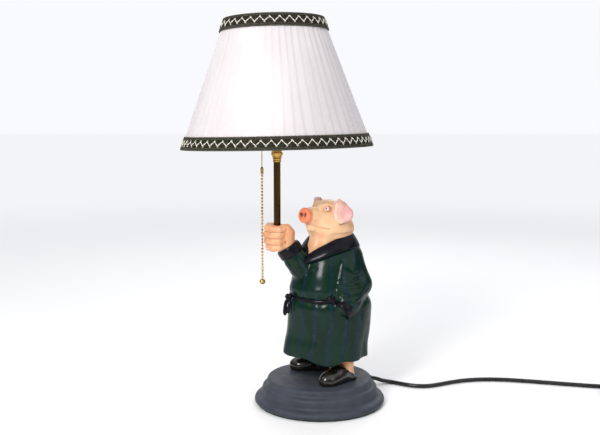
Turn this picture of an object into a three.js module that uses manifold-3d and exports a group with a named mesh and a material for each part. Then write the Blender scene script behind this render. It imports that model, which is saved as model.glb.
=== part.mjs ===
// A table lamp: a pig in a dressing gown stands on a stepped round base and holds up the lamp pole.
// The pole carries a pull-chain socket, a harp and a pleated shade, and a mains cord leaves the base.
// Millimetres, +Z up, +X to the right and +Y away from the front. The origin is the centre of the
// underside of the base.
import * as THREE from 'three';
import { mergeVertices } from 'three/addons/utils/BufferGeometryUtils.js';
import Module from 'manifold-3d';

const wasm = await Module();
wasm.setup();

// ---------------------------------------------------------------- driving dimensions

const GAP = 0.3; // left between pieces that touch
const RUN = 0.5; // left round pieces that turn or slide

const FELT = { radius: 88, thickness: 1.5 };
const TIERS = [
  { radius: 91.3, top: 8.7 },
  { radius: 80.8, top: 26.5 },
  { radius: 73.7, top: 36.4 },
];
const TIER_ROUND = 2.4;
const BASE_TOP = TIERS[2].top;
const CAVITY = { radius: 60, top: 30.6 };

const LEG_NEAR = new THREE.Vector2(37, -19);
const LEG_FAR = new THREE.Vector2(7, 31);
const PIPE = { radius: 4.75, bore: 3.3 };

const POLE = new THREE.Vector2(-58.5, -20);
const POLE_FOOT = 236;
const POLE_HEAD = 361.5;

const SHADE = { bottom: 357.4, height: 171.1, bottomRadius: 130, topRadius: 67, lean: -0.022 };
const BRAID = { height: 17.5, thickness: 1.5 };
const FABRIC_THICKNESS = 0.6;
const SHADE_SIDES = 40;

const CHAIN = { x: -20.1, y: -7, mouth: 366, wireFoot: 332.8, connectorFoot: 321.9 };
const BEAD = { diameter: 3.2, pitch: 4.293, count: 33 };
const END_BALL = 8;

const CORD_RADIUS = 3;
const CORD_EXIT = { bearing: 40, height: 17.6, dip: 13.6, reach: 22 };
const COIL = { x: 451, y: 14, inner: 24, outer: 42.2, height: 16.6 };
const COIL_TURN = 39; // centre line of the outermost turn
const PLUG = { width: 24, thickness: 16, length: 33, prong: 16 };

// ---------------------------------------------------------------- materials

function finish(color, roughness, metalness = 0, extra = {}) {
  return new THREE.MeshStandardMaterial({ color, roughness, metalness, ...extra });
}

const slate = finish(0x4b535f, 0.45);
const feltGreen = finish(0x23352a, 0.95);
const robeGreen = finish(0x173026, 0.22);
const navy = finish(0x141422, 0.25);
const skin = finish(0xf6cfa4, 0.35);
const earPink = finish(0xe8b6b4, 0.4);
const eyeWhite = finish(0xf4efe6, 0.2);
const slipperBlack = finish(0x17120e, 0.15);
const darkBrass = finish(0x4a3a22, 0.25, 1);
const brass = finish(0xb08a3c, 0.3, 1);
const steel = finish(0x9a9a98, 0.35, 1);
const phenolic = finish(0x1b1b1b, 0.5);
const fabricWhite = finish(0xf4eff2, 0.9);
const braidDark = finish(0x2a2c22, 0.85);
const frameWire = finish(0xe8e6e0, 0.4, 0.3);
const frosted = finish(0xf5f5f0, 0.3, 0, { transparent: true, opacity: 0.6 });
const cordBlack = finish(0x0c0c0c, 0.3);

// ---------------------------------------------------------------- shape helpers

function signedVolume(vertices, corners) {
  const points = [new THREE.Vector3(), new THREE.Vector3(), new THREE.Vector3()];
  let volume = 0;
  for (let i = 0; i < corners.length; i += 3) {
    points.forEach((point, k) => point.fromArray(vertices, 3 * corners[i + k]));
    volume += points[0].dot(points[1].clone().cross(points[2]));
  }
  return volume / 6;
}

// A closed three.js geometry as a manifold solid: seams welded, slivers dropped, faces outwards.
function solid(geometry) {
  const bare = geometry.clone();
  bare.deleteAttribute('normal');
  bare.deleteAttribute('uv');
  const welded = mergeVertices(bare, 1e-3);
  const index = welded.index.array;
  const vertProperties = Float32Array.from(welded.attributes.position.array);
  const corners = [];
  for (let i = 0; i < index.length; i += 3) {
    const [a, b, c] = [index[i], index[i + 1], index[i + 2]];
    if (a !== b && b !== c && c !== a) corners.push(a, b, c);
  }
  if (signedVolume(vertProperties, corners) < 0) corners.reverse();
  const triVerts = Uint32Array.from(corners);
  return new wasm.Manifold(new wasm.Mesh({ numProp: 3, vertProperties, triVerts }));
}

function geometryOf(body) {
  const mesh = body.getMesh();
  const geometry = new THREE.BufferGeometry();
  geometry.setAttribute('position', new THREE.BufferAttribute(mesh.vertProperties, 3));
  geometry.setIndex(new THREE.BufferAttribute(mesh.triVerts, 1));
  geometry.computeVertexNormals();
  return geometry;
}

function join(...bodies) {
  return bodies.reduce((sum, body) => sum.add(body));
}

// What is left of a body once its neighbours' room is cut away; scraps that come loose are dropped.
function cut(body, ...rooms) {
  const left = rooms.reduce((rest, room) => rest.subtract(room), body);
  return left.decompose().sort((a, b) => b.volume() - a.volume())[0];
}

// A turned body: profile points are [radius, height].
function turned(profile, sides = 20) {
  const points = profile.map(([radius, height]) => new THREE.Vector2(radius, height));
  return new THREE.LatheGeometry(points, sides).rotateX(Math.PI / 2);
}

// A turned ring or tube with its profile closed on itself.
function ring(profile, sides = 20) {
  return turned([...profile, profile[0]], sides);
}

function rod(radius, from, to, sides = 12) {
  const axis = new THREE.Vector3().subVectors(to, from);
  const geometry = new THREE.CylinderGeometry(radius, radius, axis.length(), sides);
  return aim(geometry, axis).translate(...from.clone().add(to).multiplyScalar(0.5));
}

// Turns a geometry's own Y axis to a direction.
function aim(geometry, direction) {
  const up = new THREE.Vector3(0, 1, 0);
  const turn = new THREE.Quaternion().setFromUnitVectors(up, direction.clone().normalize());
  return geometry.applyQuaternion(turn);
}

function vec(x, y, z) {
  return new THREE.Vector3(x, y, z);
}

function circle(radius, sides) {
  const outline = [];
  for (let k = 0; k < sides; k += 1) {
    const angle = (2 * Math.PI * k) / sides;
    outline.push(new THREE.Vector2(radius * Math.cos(angle), radius * Math.sin(angle)));
  }
  return new THREE.Shape(outline);
}

// A round bar along a smooth path.
function sweep(points, radius, sides = 8, steps = 24) {
  const path = new THREE.CatmullRomCurve3(points, false, 'centripetal');
  return new THREE.ExtrudeGeometry(circle(radius, sides), {
    steps,
    extrudePath: path,
    bevelEnabled: false,
  });
}

function egg(centre, radii, turn = [0, 0, 0], grow = 0, detail = [10, 7]) {
  const grown = radii.map((radius) => radius + grow);
  const geometry = new THREE.SphereGeometry(1, ...detail).scale(...grown);
  geometry.applyQuaternion(new THREE.Quaternion().setFromEuler(new THREE.Euler(...turn)));
  return solid(geometry.translate(...centre));
}

// A smooth body through level oval sections: { z, x, y, a, b }, with half-widths a along X, b along Y.
function stack(sections, sides = 24, grow = 0, hemSlope = 0) {
  const rows = [new THREE.Vector2(0, 0), ...sections.map((_, k) => new THREE.Vector2(1, k))];
  rows.push(new THREE.Vector2(0, sections.length - 1));
  const geometry = new THREE.LatheGeometry(rows, sides);
  const position = geometry.attributes.position;
  for (let i = 0; i < position.count; i += 1) {
    const level = position.getY(i);
    const section = sections[level];
    const ends = level === 0 ? -grow : level === sections.length - 1 ? grow : 0;
    const x = section.x + (section.a + grow) * position.getX(i);
    const y = section.y + (section.b + grow) * position.getZ(i);
    const fade = Math.max(0, 1 - level / 2);
    position.setXYZ(i, x, y, section.z + ends + hemSlope * fade * (x - section.x));
  }
  return solid(geometry);
}

// A limb: a chain of tapered rounds, each { at, r }, joined by their common hulls of revolution.
function limb(joints, grow = 0, sides = 8) {
  const bodies = [];
  joints.forEach((joint, k) => {
    bodies.push(egg(joint.at, [joint.r, joint.r, joint.r], [0, 0, 0], grow, [sides, 5]));
    if (k === 0) return;
    const before = joints[k - 1];
    const from = vec(...before.at);
    const axis = vec(...joint.at).sub(from);
    const cone = new THREE.CylinderGeometry(joint.r + grow, before.r + grow, axis.length(), sides);
    bodies.push(solid(aim(cone, axis).translate(...from.addScaledVector(axis, 0.5))));
  });
  return join(...bodies);
}

// ---------------------------------------------------------------- the assembly

const group = new THREE.Group();
const fitting = new THREE.Group();
fitting.position.set(POLE.x, POLE.y, 0);
group.add(fitting);
const leaning = new THREE.Group();
leaning.position.set(0, 0, SHADE.bottom);
leaning.rotation.y = SHADE.lean;
fitting.add(leaning);

function put(name, shape, material, parent = group) {
  const body = shape.isBufferGeometry ? solid(shape) : shape;
  const mesh = new THREE.Mesh(geometryOf(body), material);
  mesh.name = name;
  parent.add(mesh);
  return mesh;
}

// ---------------------------------------------------------------- base

const exitBearing = THREE.MathUtils.degToRad(CORD_EXIT.bearing);
const exitDip = THREE.MathUtils.degToRad(CORD_EXIT.dip);
const exitAxis = vec(
  Math.cos(exitBearing) * Math.cos(exitDip),
  Math.sin(exitBearing) * Math.cos(exitDip),
  -Math.sin(exitDip),
);
const exitPoint = vec(
  TIERS[1].radius * Math.cos(exitBearing),
  TIERS[1].radius * Math.sin(exitBearing),
  CORD_EXIT.height,
);

function alongExit(distance) {
  return exitPoint.clone().addScaledVector(exitAxis, distance);
}

// The rounded upper edge of one step of the base.
function roundedStep({ radius, top }) {
  const points = [];
  for (let k = 0; k <= 2; k += 1) {
    const angle = (Math.PI / 4) * k;
    points.push([
      radius - TIER_ROUND * (1 - Math.cos(angle)),
      top - TIER_ROUND * (1 - Math.sin(angle)),
    ]);
  }
  return points;
}

const footScrewAt = vec(LEG_NEAR.x - 4, LEG_NEAR.y - 4, 0);

function baseBody() {
  const profile = [
    [0, CAVITY.top],
    [CAVITY.radius, CAVITY.top],
    [CAVITY.radius, FELT.thickness + GAP],
    [TIERS[0].radius, FELT.thickness + GAP],
  ];
  TIERS.forEach((tier, k) => {
    if (k > 0) profile.push([tier.radius, TIERS[k - 1].top]);
    profile.push(...roundedStep(tier));
  });
  profile.push([0, BASE_TOP]);
  const exitHole = rod(5.6, alongExit(-32), alongExit(4), 12);
  const pipeHole = rod(PIPE.radius + GAP, vec(...LEG_FAR, 0), vec(...LEG_FAR, 60), 16);
  const screwHole = rod(2 + GAP, footScrewAt, footScrewAt.clone().setZ(60), 10);
  return cut(solid(turned(profile, 32)), solid(exitHole), solid(pipeHole), solid(screwHole));
}

function strainRelief() {
  // Radius at each distance along the exit axis; a waist grips the edge of the hole.
  const profile = [[0, -26], [6.6, -26], [6.6, -24.4], [5, -24.4], [5, 2.6], [6.8, 2.6]];
  profile.push([6.8, 4.6], [5.4, 5.4], [3.9, CORD_EXIT.reach], [0, CORD_EXIT.reach]);
  const points = profile.map(([radius, along]) => new THREE.Vector2(radius, along));
  const geometry = new THREE.LatheGeometry(points, 12);
  return aim(geometry, exitAxis).translate(...exitPoint);
}

put('base_plinth', baseBody(), slate);
const feltProfile = [[0, 0], [FELT.radius, 0], [FELT.radius, FELT.thickness], [0, FELT.thickness]];
put('base_felt', turned(feltProfile, 32), feltGreen);
put('strain_relief', strainRelief(), cordBlack);

// ---------------------------------------------------------------- figure: room that pieces need

const LEAD = [
  alongExit(-26.6),
  alongExit(-31),
  vec(30, 32.6, 15),
  vec(18, 31.4, 8.6),
  vec(8.6, 31, 10.6),
  vec(LEG_FAR.x, LEG_FAR.y, 18),
  vec(LEG_FAR.x, LEG_FAR.y, 60),
  vec(LEG_FAR.x, LEG_FAR.y - 3, 100),
  vec(4, 10, 150),
  vec(-14, -8, 184),
  vec(-31, -18, 196),
  vec(-45, -21, 212),
  vec(-53, -20.6, 220),
  vec(-57.8, -20.1, 227),
  vec(POLE.x, POLE.y, 234),
  vec(POLE.x, POLE.y, 242),
  vec(POLE.x, POLE.y, 262),
];

const leadRoom = solid(sweep(LEAD, 3.2, 6, 24));
const poleRoom = solid(rod(PIPE.radius + GAP, vec(...POLE, POLE_FOOT - GAP), vec(...POLE, 380), 18));
const pipeRoom = solid(rod(PIPE.radius + GAP, vec(...LEG_FAR, 0), vec(...LEG_FAR, 75.3), 16));
const screwRoom = solid(rod(2 + GAP, footScrewAt, footScrewAt.clone().setZ(58.3), 10));

// Direction that the pig faces, seen from above, and its own right-hand side.
const FACING = Math.PI * 1.27;

function bodySections() {
  return [
    { z: 69.5, x: 7.7, y: -2, a: 58.5, b: 48 },
    { z: 86, x: 9, y: -2, a: 57.5, b: 47.5 },
    { z: 104, x: 12, y: -2, a: 57.5, b: 47 },
    { z: 130, x: 13.5, y: -3, a: 58, b: 48 },
    { z: 146, x: 13.5, y: -3, a: 57, b: 46.5 },
    { z: 154, x: 13, y: -3, a: 54, b: 44.5 },
    { z: 168, x: 12.5, y: -4, a: 53, b: 44 },
    { z: 186, x: 13, y: -3, a: 50, b: 42 },
    { z: 204, x: 14, y: -2, a: 45, b: 37 },
    { z: 218, x: 15.5, y: 0, a: 38, b: 31 },
    { z: 227, x: 17, y: 1, a: 30, b: 25 },
  ];
}

function neck(grow = 0) {
  return limb([{ at: [15, 0, 240], r: 24 }, { at: [6, -8, 218], r: 21 }], grow, 10);
}

function jowl(grow = 0) {
  return egg([9, -6, 248], [29, 28, 20], [0, 0, 0], grow, [12, 7]);
}

function head(grow = 0) {
  const skull = egg([15, -2, 260], [31.5, 32, 30.5], [0, 0, 0], grow, [14, 8]);
  const muzzle = limb([{ at: [4, -14, 264], r: 16 }, { at: [-12, -30, 267], r: 11.5 }], grow);
  const nose = rod(11.6 + grow, vec(-10, -27.5, 266.5), vec(-20, -37.5, 268), 14);
  return join(skull, jowl(grow), muzzle, solid(nose), neck(grow));
}

const EYES = { eye_near: [9.5, -30.2, 276.5], eye_far: [-6.3, -13, 275.5] };

function eye(name, grow = 0) {
  return egg(EYES[name], [4.2, 4.2, 4.2], [0, 0, 0], grow, [10, 7]);
}

const EARS = {
  ear_near: { at: [32, -29, 272], radii: [18, 3.2, 15], turn: [0.25, -0.35, 0.35] },
  ear_far: { at: [-6, 13, 280], radii: [4, 13, 12], turn: [0.1, 0.45, 0.5] },
};

function ear(name, grow = 0) {
  const { at, radii, turn } = EARS[name];
  return egg(at, radii, turn, grow);
}

function fist(grow = 0) {
  const fingers = [];
  for (let k = 0; k < 4; k += 1) {
    const z = 223.5 + 8.6 * k;
    const left = -69.8 + 1.2 * Math.abs(k - 1.2);
    const path = [vec(-55, -5.5, z), vec(left, -13, z), vec(left + 0.6, -28, z - 0.6)];
    path.push(vec(-60, -35.6, z - 1), vec(-46, -36, z - 0.6));
    fingers.push(solid(sweep(path, 5.6 + grow, 6, 6)));
  }
  const core = egg([-56, -21, 236.5], [15, 15, 18], [0, 0, 0], grow);
  const heel = limb([{ at: [-44.5, -22, 222], r: 9.6 }, { at: [-44.5, -25, 246], r: 8 }], grow);
  const wrist = limb([{ at: [-46, -21, 222], r: 12.5 }, { at: [-38, -20.5, 211], r: 12 }], grow);
  return join(core, ...fingers, heel, wrist);
}

// A cuff: a short round band about the sleeve's axis.
function cuff(from, to, radius, grow = 0) {
  const axis = vec(...to).sub(vec(...from)).normalize();
  const start = vec(...from).addScaledVector(axis, -grow);
  const end = vec(...to).addScaledVector(axis, grow);
  return solid(rod(radius + grow, start, end, 14));
}

const RAISED_CUFF = [[-37.5, -20.8, 213.2], [-44.6, -21, 224]];
const POCKET_CUFF = [[33, -43.5, 143], [25, -49, 137]];

function raisedSleeve(grow = 0) {
  return limb([
    { at: [-4, -6, 199], r: 20 },
    { at: [-25, -16.5, 196], r: 17.6 },
    { at: [-33, -20.5, 206], r: 15.8 },
  ], grow, 10);
}

function pocketSleeve(grow = 0) {
  return limb([
    { at: [43, -2, 205], r: 17 },
    { at: [52, -13, 171], r: 18 },
    { at: [40, -36, 149], r: 13.6 },
  ], grow, 10);
}

function collar(grow = 0) {
  const path = [
    vec(-20, -25, 208), vec(-22, -14, 222), vec(-13, 8, 232), vec(8, 26, 235), vec(32, 24, 235),
    vec(47, 8, 233), vec(46, -12, 228), vec(30, -28, 222), vec(8, -36, 214), vec(-12, -36.5, 205),
  ];
  return solid(sweep(path, 6.6 + grow, 6, 22));
}

function bandSections(width) {
  return [
    { z: 149, x: 13.5, y: -3, a: 56 + width, b: 46 + width },
    { z: 153, x: 13.3, y: -3, a: 55.5 + width, b: 45.6 + width },
    { z: 158.5, x: 13, y: -3, a: 54 + width, b: 44.8 + width },
  ];
}

function belt(grow = 0) {
  return cut(stack(bandSections(2 + grow), 18, grow), stack(bandSections(-6 - grow), 18, 2));
}

function beltKnot(grow = 0) {
  return egg([-41.8, -22, 153.6], [5, 6, 5.5], [0, 0, 0.7], grow);
}

function beltTails(grow = 0) {
  const path = [vec(-43.5, -28, 127), vec(-42, -27, 140), vec(-42.6, -23.5, 145)];
  path.push(vec(-44.6, -20.4, 140), vec(-46.6, -19, 127));
  return solid(sweep(path, 2.8 + grow, 6, 10));
}

function leg(place, grow = 0) {
  const sections = [
    { z: BASE_TOP + 6, x: place.x, y: place.y, a: 10, b: 10 },
    { z: 48, x: place.x, y: place.y, a: 9.5, b: 9.5 },
    { z: 84, x: place.x, y: place.y, a: 14, b: 13.5 },
  ];
  return stack(sections, 10, grow);
}

// A mule slipper: a sole and a domed toe, lying along the direction that the foot points.
function slipper(place, bearing) {
  const along = vec(Math.cos(bearing), Math.sin(bearing), 0);
  const floor = BASE_TOP + GAP;
  const at = (distance, height) => [
    place.x + along.x * distance,
    place.y + along.y * distance,
    floor + height,
  ];
  const sole = egg(at(17, 3), [34, 14, 7], [0, 0, bearing]);
  const toe = egg(at(31, 8), [23, 15, 13], [0, 0, bearing]);
  const below = new THREE.BoxGeometry(300, 300, 60).translate(0, 0, floor - 30);
  return cut(join(sole, toe), solid(below));
}

// ---------------------------------------------------------------- figure

const farLeg = leg(LEG_FAR, GAP);
const nearLeg = leg(LEG_NEAR, GAP);
const sleeveRooms = [raisedSleeve(GAP), pocketSleeve(GAP)];
const cuffRooms = [cuff(...RAISED_CUFF, 16.6, GAP), cuff(...POCKET_CUFF, 14.6, GAP)];

const robe = cut(
  stack(bodySections(), 18, 0, -0.06),
  neck(GAP), jowl(GAP), collar(GAP), belt(GAP), beltKnot(GAP), beltTails(GAP),
  ...sleeveRooms, ...cuffRooms, farLeg, nearLeg, pipeRoom, leadRoom,
);
put('robe', robe, robeGreen);
const sleeveNeighbours = [collar(GAP), neck(GAP), jowl(GAP), cuffRooms[0], fist(GAP), leadRoom];
put('raised_sleeve', cut(raisedSleeve(), ...sleeveNeighbours), robeGreen);
put('pocket_sleeve', cut(pocketSleeve(), collar(GAP), cuffRooms[1]), robeGreen);
put('raised_cuff', cut(cuff(...RAISED_CUFF, 16.6), fist(GAP)), navy);
put('pocket_cuff', cuff(...POCKET_CUFF, 14.6), navy);
put('collar', cut(collar(), neck(GAP), jowl(GAP), cuffRooms[0], fist(GAP)), navy);
const beltRooms = [beltKnot(GAP), beltTails(GAP), pocketSleeve(GAP), cuffRooms[1]];
put('belt', cut(belt(), ...beltRooms), navy);
put('belt_knot', beltKnot(), navy);
put('belt_tails', cut(beltTails(), beltKnot(GAP)), navy);
put('head', cut(head(), eye('eye_near', GAP), eye('eye_far', GAP)), skin);
put('eye_near', eye('eye_near'), eyeWhite);
put('eye_far', eye('eye_far'), eyeWhite);
put('ear_near', cut(ear('ear_near'), head(GAP)), earPink);
put('ear_far', cut(ear('ear_far'), head(GAP)), earPink);
put('fist', cut(fist(), poleRoom, leadRoom), skin);
put('leg_far', cut(leg(LEG_FAR), pipeRoom, leadRoom), skin);
put('leg_near', cut(leg(LEG_NEAR), screwRoom), skin);
put('slipper_far', cut(slipper(LEG_FAR, Math.PI * 0.99), farLeg, pipeRoom), slipperBlack);
put('slipper_near', cut(slipper(LEG_NEAR, FACING), nearLeg, screwRoom), slipperBlack);

// ---------------------------------------------------------------- what holds the figure to the base

const clampTop = CAVITY.top - GAP;
const pipeFoot = clampTop - 9;
const pipeWall = [[PIPE.bore, pipeFoot], [PIPE.radius, pipeFoot], [PIPE.radius, 75], [PIPE.bore, 75]];
put('mounting_pipe', ring(pipeWall).translate(...LEG_FAR, 0), steel);
const nutFoot = clampTop - 4.3;
const nutBlank = turned([[0, nutFoot], [9, nutFoot], [9, clampTop], [0, clampTop]], 6);
const nut = cut(solid(nutBlank.translate(...LEG_FAR, 0)), pipeRoom);
put('mounting_nut', nut, steel);
const headFoot = clampTop - 2.1;
const screwProfile = [[0, headFoot], [3.6, headFoot], [3.6, clampTop], [2, clampTop], [2, 56], [0, 58]];
put('foot_screw', turned(screwProfile, 12).translate(footScrewAt.x, footScrewAt.y, 0), steel);
put('inner_lead', sweep(LEAD, 2.2, 6, 24), cordBlack);

// ---------------------------------------------------------------- pole and socket

const poleWall = [[PIPE.bore, POLE_FOOT], [PIPE.radius, POLE_FOOT]];
poleWall.push([PIPE.radius, POLE_HEAD], [PIPE.bore, POLE_HEAD]);
const COLLAR_BORE = PIPE.radius + GAP;
put('pole_tube', ring(poleWall, 18), darkBrass, fitting);

const neckWall = [[COLLAR_BORE, 338.5], [5.7, 338.5], [5.3, 341], [5.8, 344], [COLLAR_BORE, 344]];
put('pole_neck', ring(neckWall, 18), brass, fitting);
const checkWall = [[COLLAR_BORE, 344.3], [6.3, 344.3], [6.6, 347], [7.9, 350.6], [7.9, 352.2]];
checkWall.push([COLLAR_BORE, 352.2]);
put('check_ring', ring(checkWall, 20), brass, fitting);

const SADDLE = { bottom: 352.5, top: 354, reach: 26, width: 13, tabTop: 366.2 };

function harpSaddle() {
  const height = SADDLE.top - SADDLE.bottom;
  const strip = new THREE.BoxGeometry(SADDLE.width, 2 * SADDLE.reach + 3, height);
  strip.translate(0, 0, SADDLE.bottom + height / 2);
  const tabHeight = SADDLE.tabTop - SADDLE.bottom;
  const tabs = [-1, 1].map((side) => {
    const tab = new THREE.BoxGeometry(4.6, 1.6, tabHeight);
    return solid(tab.translate(0, side * SADDLE.reach, SADDLE.bottom + tabHeight / 2));
  });
  const hole = rod(COLLAR_BORE, vec(0, 0, 350), vec(0, 0, 356), 18);
  return cut(join(solid(strip), ...tabs), solid(hole));
}

put('harp_saddle', harpSaddle(), brass, fitting);

const capWall = [[COLLAR_BORE, 354.4], [9, 354.4], [9.6, 357], [15.2, 362], [16.2, 366]];
capWall.push([15, 366], [14, 363], [COLLAR_BORE, 359]);
put('socket_cap', ring(capWall, 20), brass, fitting);
put('socket_core', turned([[0, 366.4], [13.6, 366.4], [13.6, 371], [0, 371]], 20), phenolic, fitting);
put('centre_contact', turned([[0, 371.3], [3.2, 371.3], [2.6, 373], [0, 373]], 12), brass, fitting);
const screwWall = [[13.6, 371.3], [14.1, 371.3], [14.1, 394], [13.6, 394]];
put('screw_shell', ring(screwWall, 20), brass, fitting);

const GUIDE_HEIGHT = 382;

function chainGuide(grow = 0) {
  const out = vec(CHAIN.x, CHAIN.y, 0).normalize();
  const reach = Math.hypot(CHAIN.x, CHAIN.y);
  const at = (distance, z) => out.clone().multiplyScalar(distance).setZ(z);
  const path = [at(15.3, GUIDE_HEIGHT), at(18.4, GUIDE_HEIGHT - 0.4), at(20.8, GUIDE_HEIGHT - 2.2)];
  path.push(at(reach, GUIDE_HEIGHT - 5), at(reach, CHAIN.mouth));
  const tube = solid(sweep(path, 2.6 + grow, 8, 9));
  const mouth = [[0, 0], [3.4, 0], [2.5, 3], [0, 3]];
  return join(tube, solid(turned(mouth, 10).translate(CHAIN.x, CHAIN.y, CHAIN.mouth)));
}

function socketShell() {
  const wall = [[15.2, 366.4], [16, 366.4], [16, 372], [16.6, 373], [16.6, 374.4], [16, 375.4]];
  wall.push([16, 409], [16.4, 411.6], [15.2, 411.6]);
  return cut(solid(ring(wall, 20)), chainGuide(GAP));
}

const wireRoom = rod(1.4, vec(CHAIN.x, CHAIN.y, 350), vec(CHAIN.x, CHAIN.y, 378.6), 10);
put('socket_shell', socketShell(), brass, fitting);
put('chain_guide', cut(chainGuide(), solid(wireRoom)), brass, fitting);

// ---------------------------------------------------------------- pull chain

const onChain = (geometry) => geometry.translate(CHAIN.x, CHAIN.y, 0);
const wireProfile = [[0, CHAIN.wireFoot], [0.6, CHAIN.wireFoot], [0.6, 377], [0, 377]];
put('pull_wire', onChain(turned(wireProfile, 8)), brass, fitting);

const connectorTop = CHAIN.wireFoot - GAP;
const connectorProfile = [[0, CHAIN.connectorFoot], [1.7, CHAIN.connectorFoot], [2.1, 324]];
connectorProfile.push([2.1, 330.5], [1.3, connectorTop], [0, connectorTop]);
put('chain_connector', onChain(turned(connectorProfile, 10)), brass, fitting);

function beadChain() {
  const radius = BEAD.diameter / 2;
  const top = CHAIN.connectorFoot - GAP;
  const profile = [[0, top], [0.5, top]];
  for (let k = 0; k < BEAD.count; k += 1) {
    const z = top - radius - BEAD.pitch * k;
    profile.push([radius, z], [0.5, z - BEAD.pitch / 2]);
  }
  const foot = profile[profile.length - 1][1];
  profile.push([0, foot]);
  return { profile, foot };
}

const beads = beadChain();
put('bead_chain', onChain(turned(beads.profile, 5)), brass, fitting);
const ballCentre = vec(CHAIN.x, CHAIN.y, beads.foot - GAP - END_BALL / 2);
put('end_ball', new THREE.SphereGeometry(END_BALL / 2, 12, 8).translate(...ballCentre), brass, fitting);

// ---------------------------------------------------------------- bulb

const tipProfile = [[0, 373.3], [2.6, 373.3], [4.6, 375.4], [0, 375.4]];
put('bulb_tip', turned(tipProfile, 12), steel, fitting);

function bulbBase() {
  const profile = [[0, 375.7], [6, 375.7], [12.2, 379]];
  for (let k = 0; k < 5; k += 1) {
    const z = 380.5 + 3.63 * k;
    profile.push([12.9, z], [12.1, z + 1.8]);
  }
  profile.push([13, 400], [0, 400]);
  return turned(profile, 14);
}

put('bulb_base', bulbBase(), brass, fitting);

function bulbGlass() {
  const outline = [[12.6, 0], [13, 6], [16.5, 16], [22, 28], [24, 38], [22.4, 48], [17, 56.4], [9, 61]];
  const outer = outline.map(([radius, height]) => [radius, 400.3 + height]);
  const inner = outline.map(([radius, height]) => [radius - 0.9, 400.3 + height]).reverse();
  return turned([[0, 400.3 + 62.4], ...outer.reverse(), ...inner.reverse(), [0, 400.3 + 61.4]], 14);
}

put('bulb_glass', bulbGlass(), frosted, fitting);

// ---------------------------------------------------------------- harp and finial (leaning)

const HARP_TOP = 156.5;
const SPIDER_SEAT = 159.6;
const STUD = { radius: 3, top: 171 };

function harp() {
  const side = [[26, 9.6], [26.6, 20], [35, 45], [42, 80], [41, 112], [33, 138], [18, 153]];
  const path = side.map(([y, z]) => vec(0, -y, z));
  path.push(vec(0, 0, HARP_TOP), ...side.reverse().map(([y, z]) => vec(0, y, z)));
  const seat = [[0, SPIDER_SEAT - 2.4], [7.5, SPIDER_SEAT - 2.4], [7.5, SPIDER_SEAT]];
  seat.push([STUD.radius, SPIDER_SEAT], [STUD.radius, STUD.top], [0, STUD.top]);
  return join(solid(sweep(path, 1.9, 6, 28)), solid(turned(seat, 10)));
}

put('harp', harp(), brass, leaning);
const ferruleWall = [[3.1, 2.6], [4, 2.6], [4, 14], [3.1, 14]];
[['harp_ferrule_front', -1], ['harp_ferrule_back', 1]].forEach(([name, side]) => {
  put(name, ring(ferruleWall, 14).translate(0, side * SADDLE.reach, 0), brass, leaning);
});

const washerFoot = SPIDER_SEAT + GAP + 1.2 + GAP;
const WASHER_TOP = washerFoot + 1;
const STUD_ROOM = STUD.radius + RUN;
const washerWall = [[STUD_ROOM, washerFoot], [7, washerFoot], [7, WASHER_TOP], [STUD_ROOM, WASHER_TOP]];
put('finial_washer', ring(washerWall, 18), brass, leaning);

function finial() {
  const z = WASHER_TOP + GAP;
  const profile = [[STUD_ROOM, z], [6, z], [6.4, z + 2], [4.6, z + 3.6], [5.6, z + 6.4]];
  profile.push([5.4, z + 9], [3.4, z + 11.8], [0, z + 12.8], [0, z + 9.6], [STUD_ROOM, z + 9.2]);
  return ring(profile, 18);
}

put('finial', finial(), brass, leaning);

// ---------------------------------------------------------------- shade (leaning)

const SLOPE = (SHADE.topRadius - SHADE.bottomRadius) / SHADE.height;

// Radius of the cone that lies a given distance inside the outer faces of the braids.
function coneRadius(z, inset) {
  return SHADE.bottomRadius - inset + SLOPE * z;
}

function coneBand(zLow, zHigh, inset, thickness) {
  return ring([
    [coneRadius(zLow, inset), zLow],
    [coneRadius(zHigh, inset), zHigh],
    [coneRadius(zHigh, inset + thickness), zHigh],
    [coneRadius(zLow, inset + thickness), zLow],
  ], SHADE_SIDES);
}

const FABRIC_INSET = BRAID.thickness + GAP;
const WIRE_INSET = FABRIC_INSET + FABRIC_THICKNESS;
const RING_WIRE = 1.2;
const RIB_WIRE = 0.8;
put('shade_fabric', coneBand(0, SHADE.height, FABRIC_INSET, FABRIC_THICKNESS), fabricWhite, leaning);
put('bottom_braid', coneBand(0, BRAID.height, 0, BRAID.thickness), braidDark, leaning);
const topBraid = coneBand(SHADE.height - BRAID.height, SHADE.height, 0, BRAID.thickness);
put('top_braid', topBraid, braidDark, leaning);

const LOW_RING = { z: 1.6, radius: coneRadius(1.6, WIRE_INSET + 1.75) };
const HIGH_RING = { z: SHADE.height - 1.6, radius: coneRadius(SHADE.height - 1.6, WIRE_INSET + 2.3) };

function wireRing({ z, radius }) {
  return solid(new THREE.TorusGeometry(radius, RING_WIRE, 4, SHADE_SIDES / 2).translate(0, 0, z));
}

function shadeWires() {
  const bodies = [wireRing(LOW_RING), wireRing(HIGH_RING)];
  for (let k = 0; k < 8; k += 1) {
    const turn = (Math.PI / 4) * k;
    const low = vec(LOW_RING.radius * Math.cos(turn), LOW_RING.radius * Math.sin(turn), LOW_RING.z);
    const high = vec(HIGH_RING.radius * Math.cos(turn), HIGH_RING.radius * Math.sin(turn), HIGH_RING.z);
    bodies.push(solid(rod(RIB_WIRE, low, high, 4)));
  }
  return join(...bodies);
}

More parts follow.
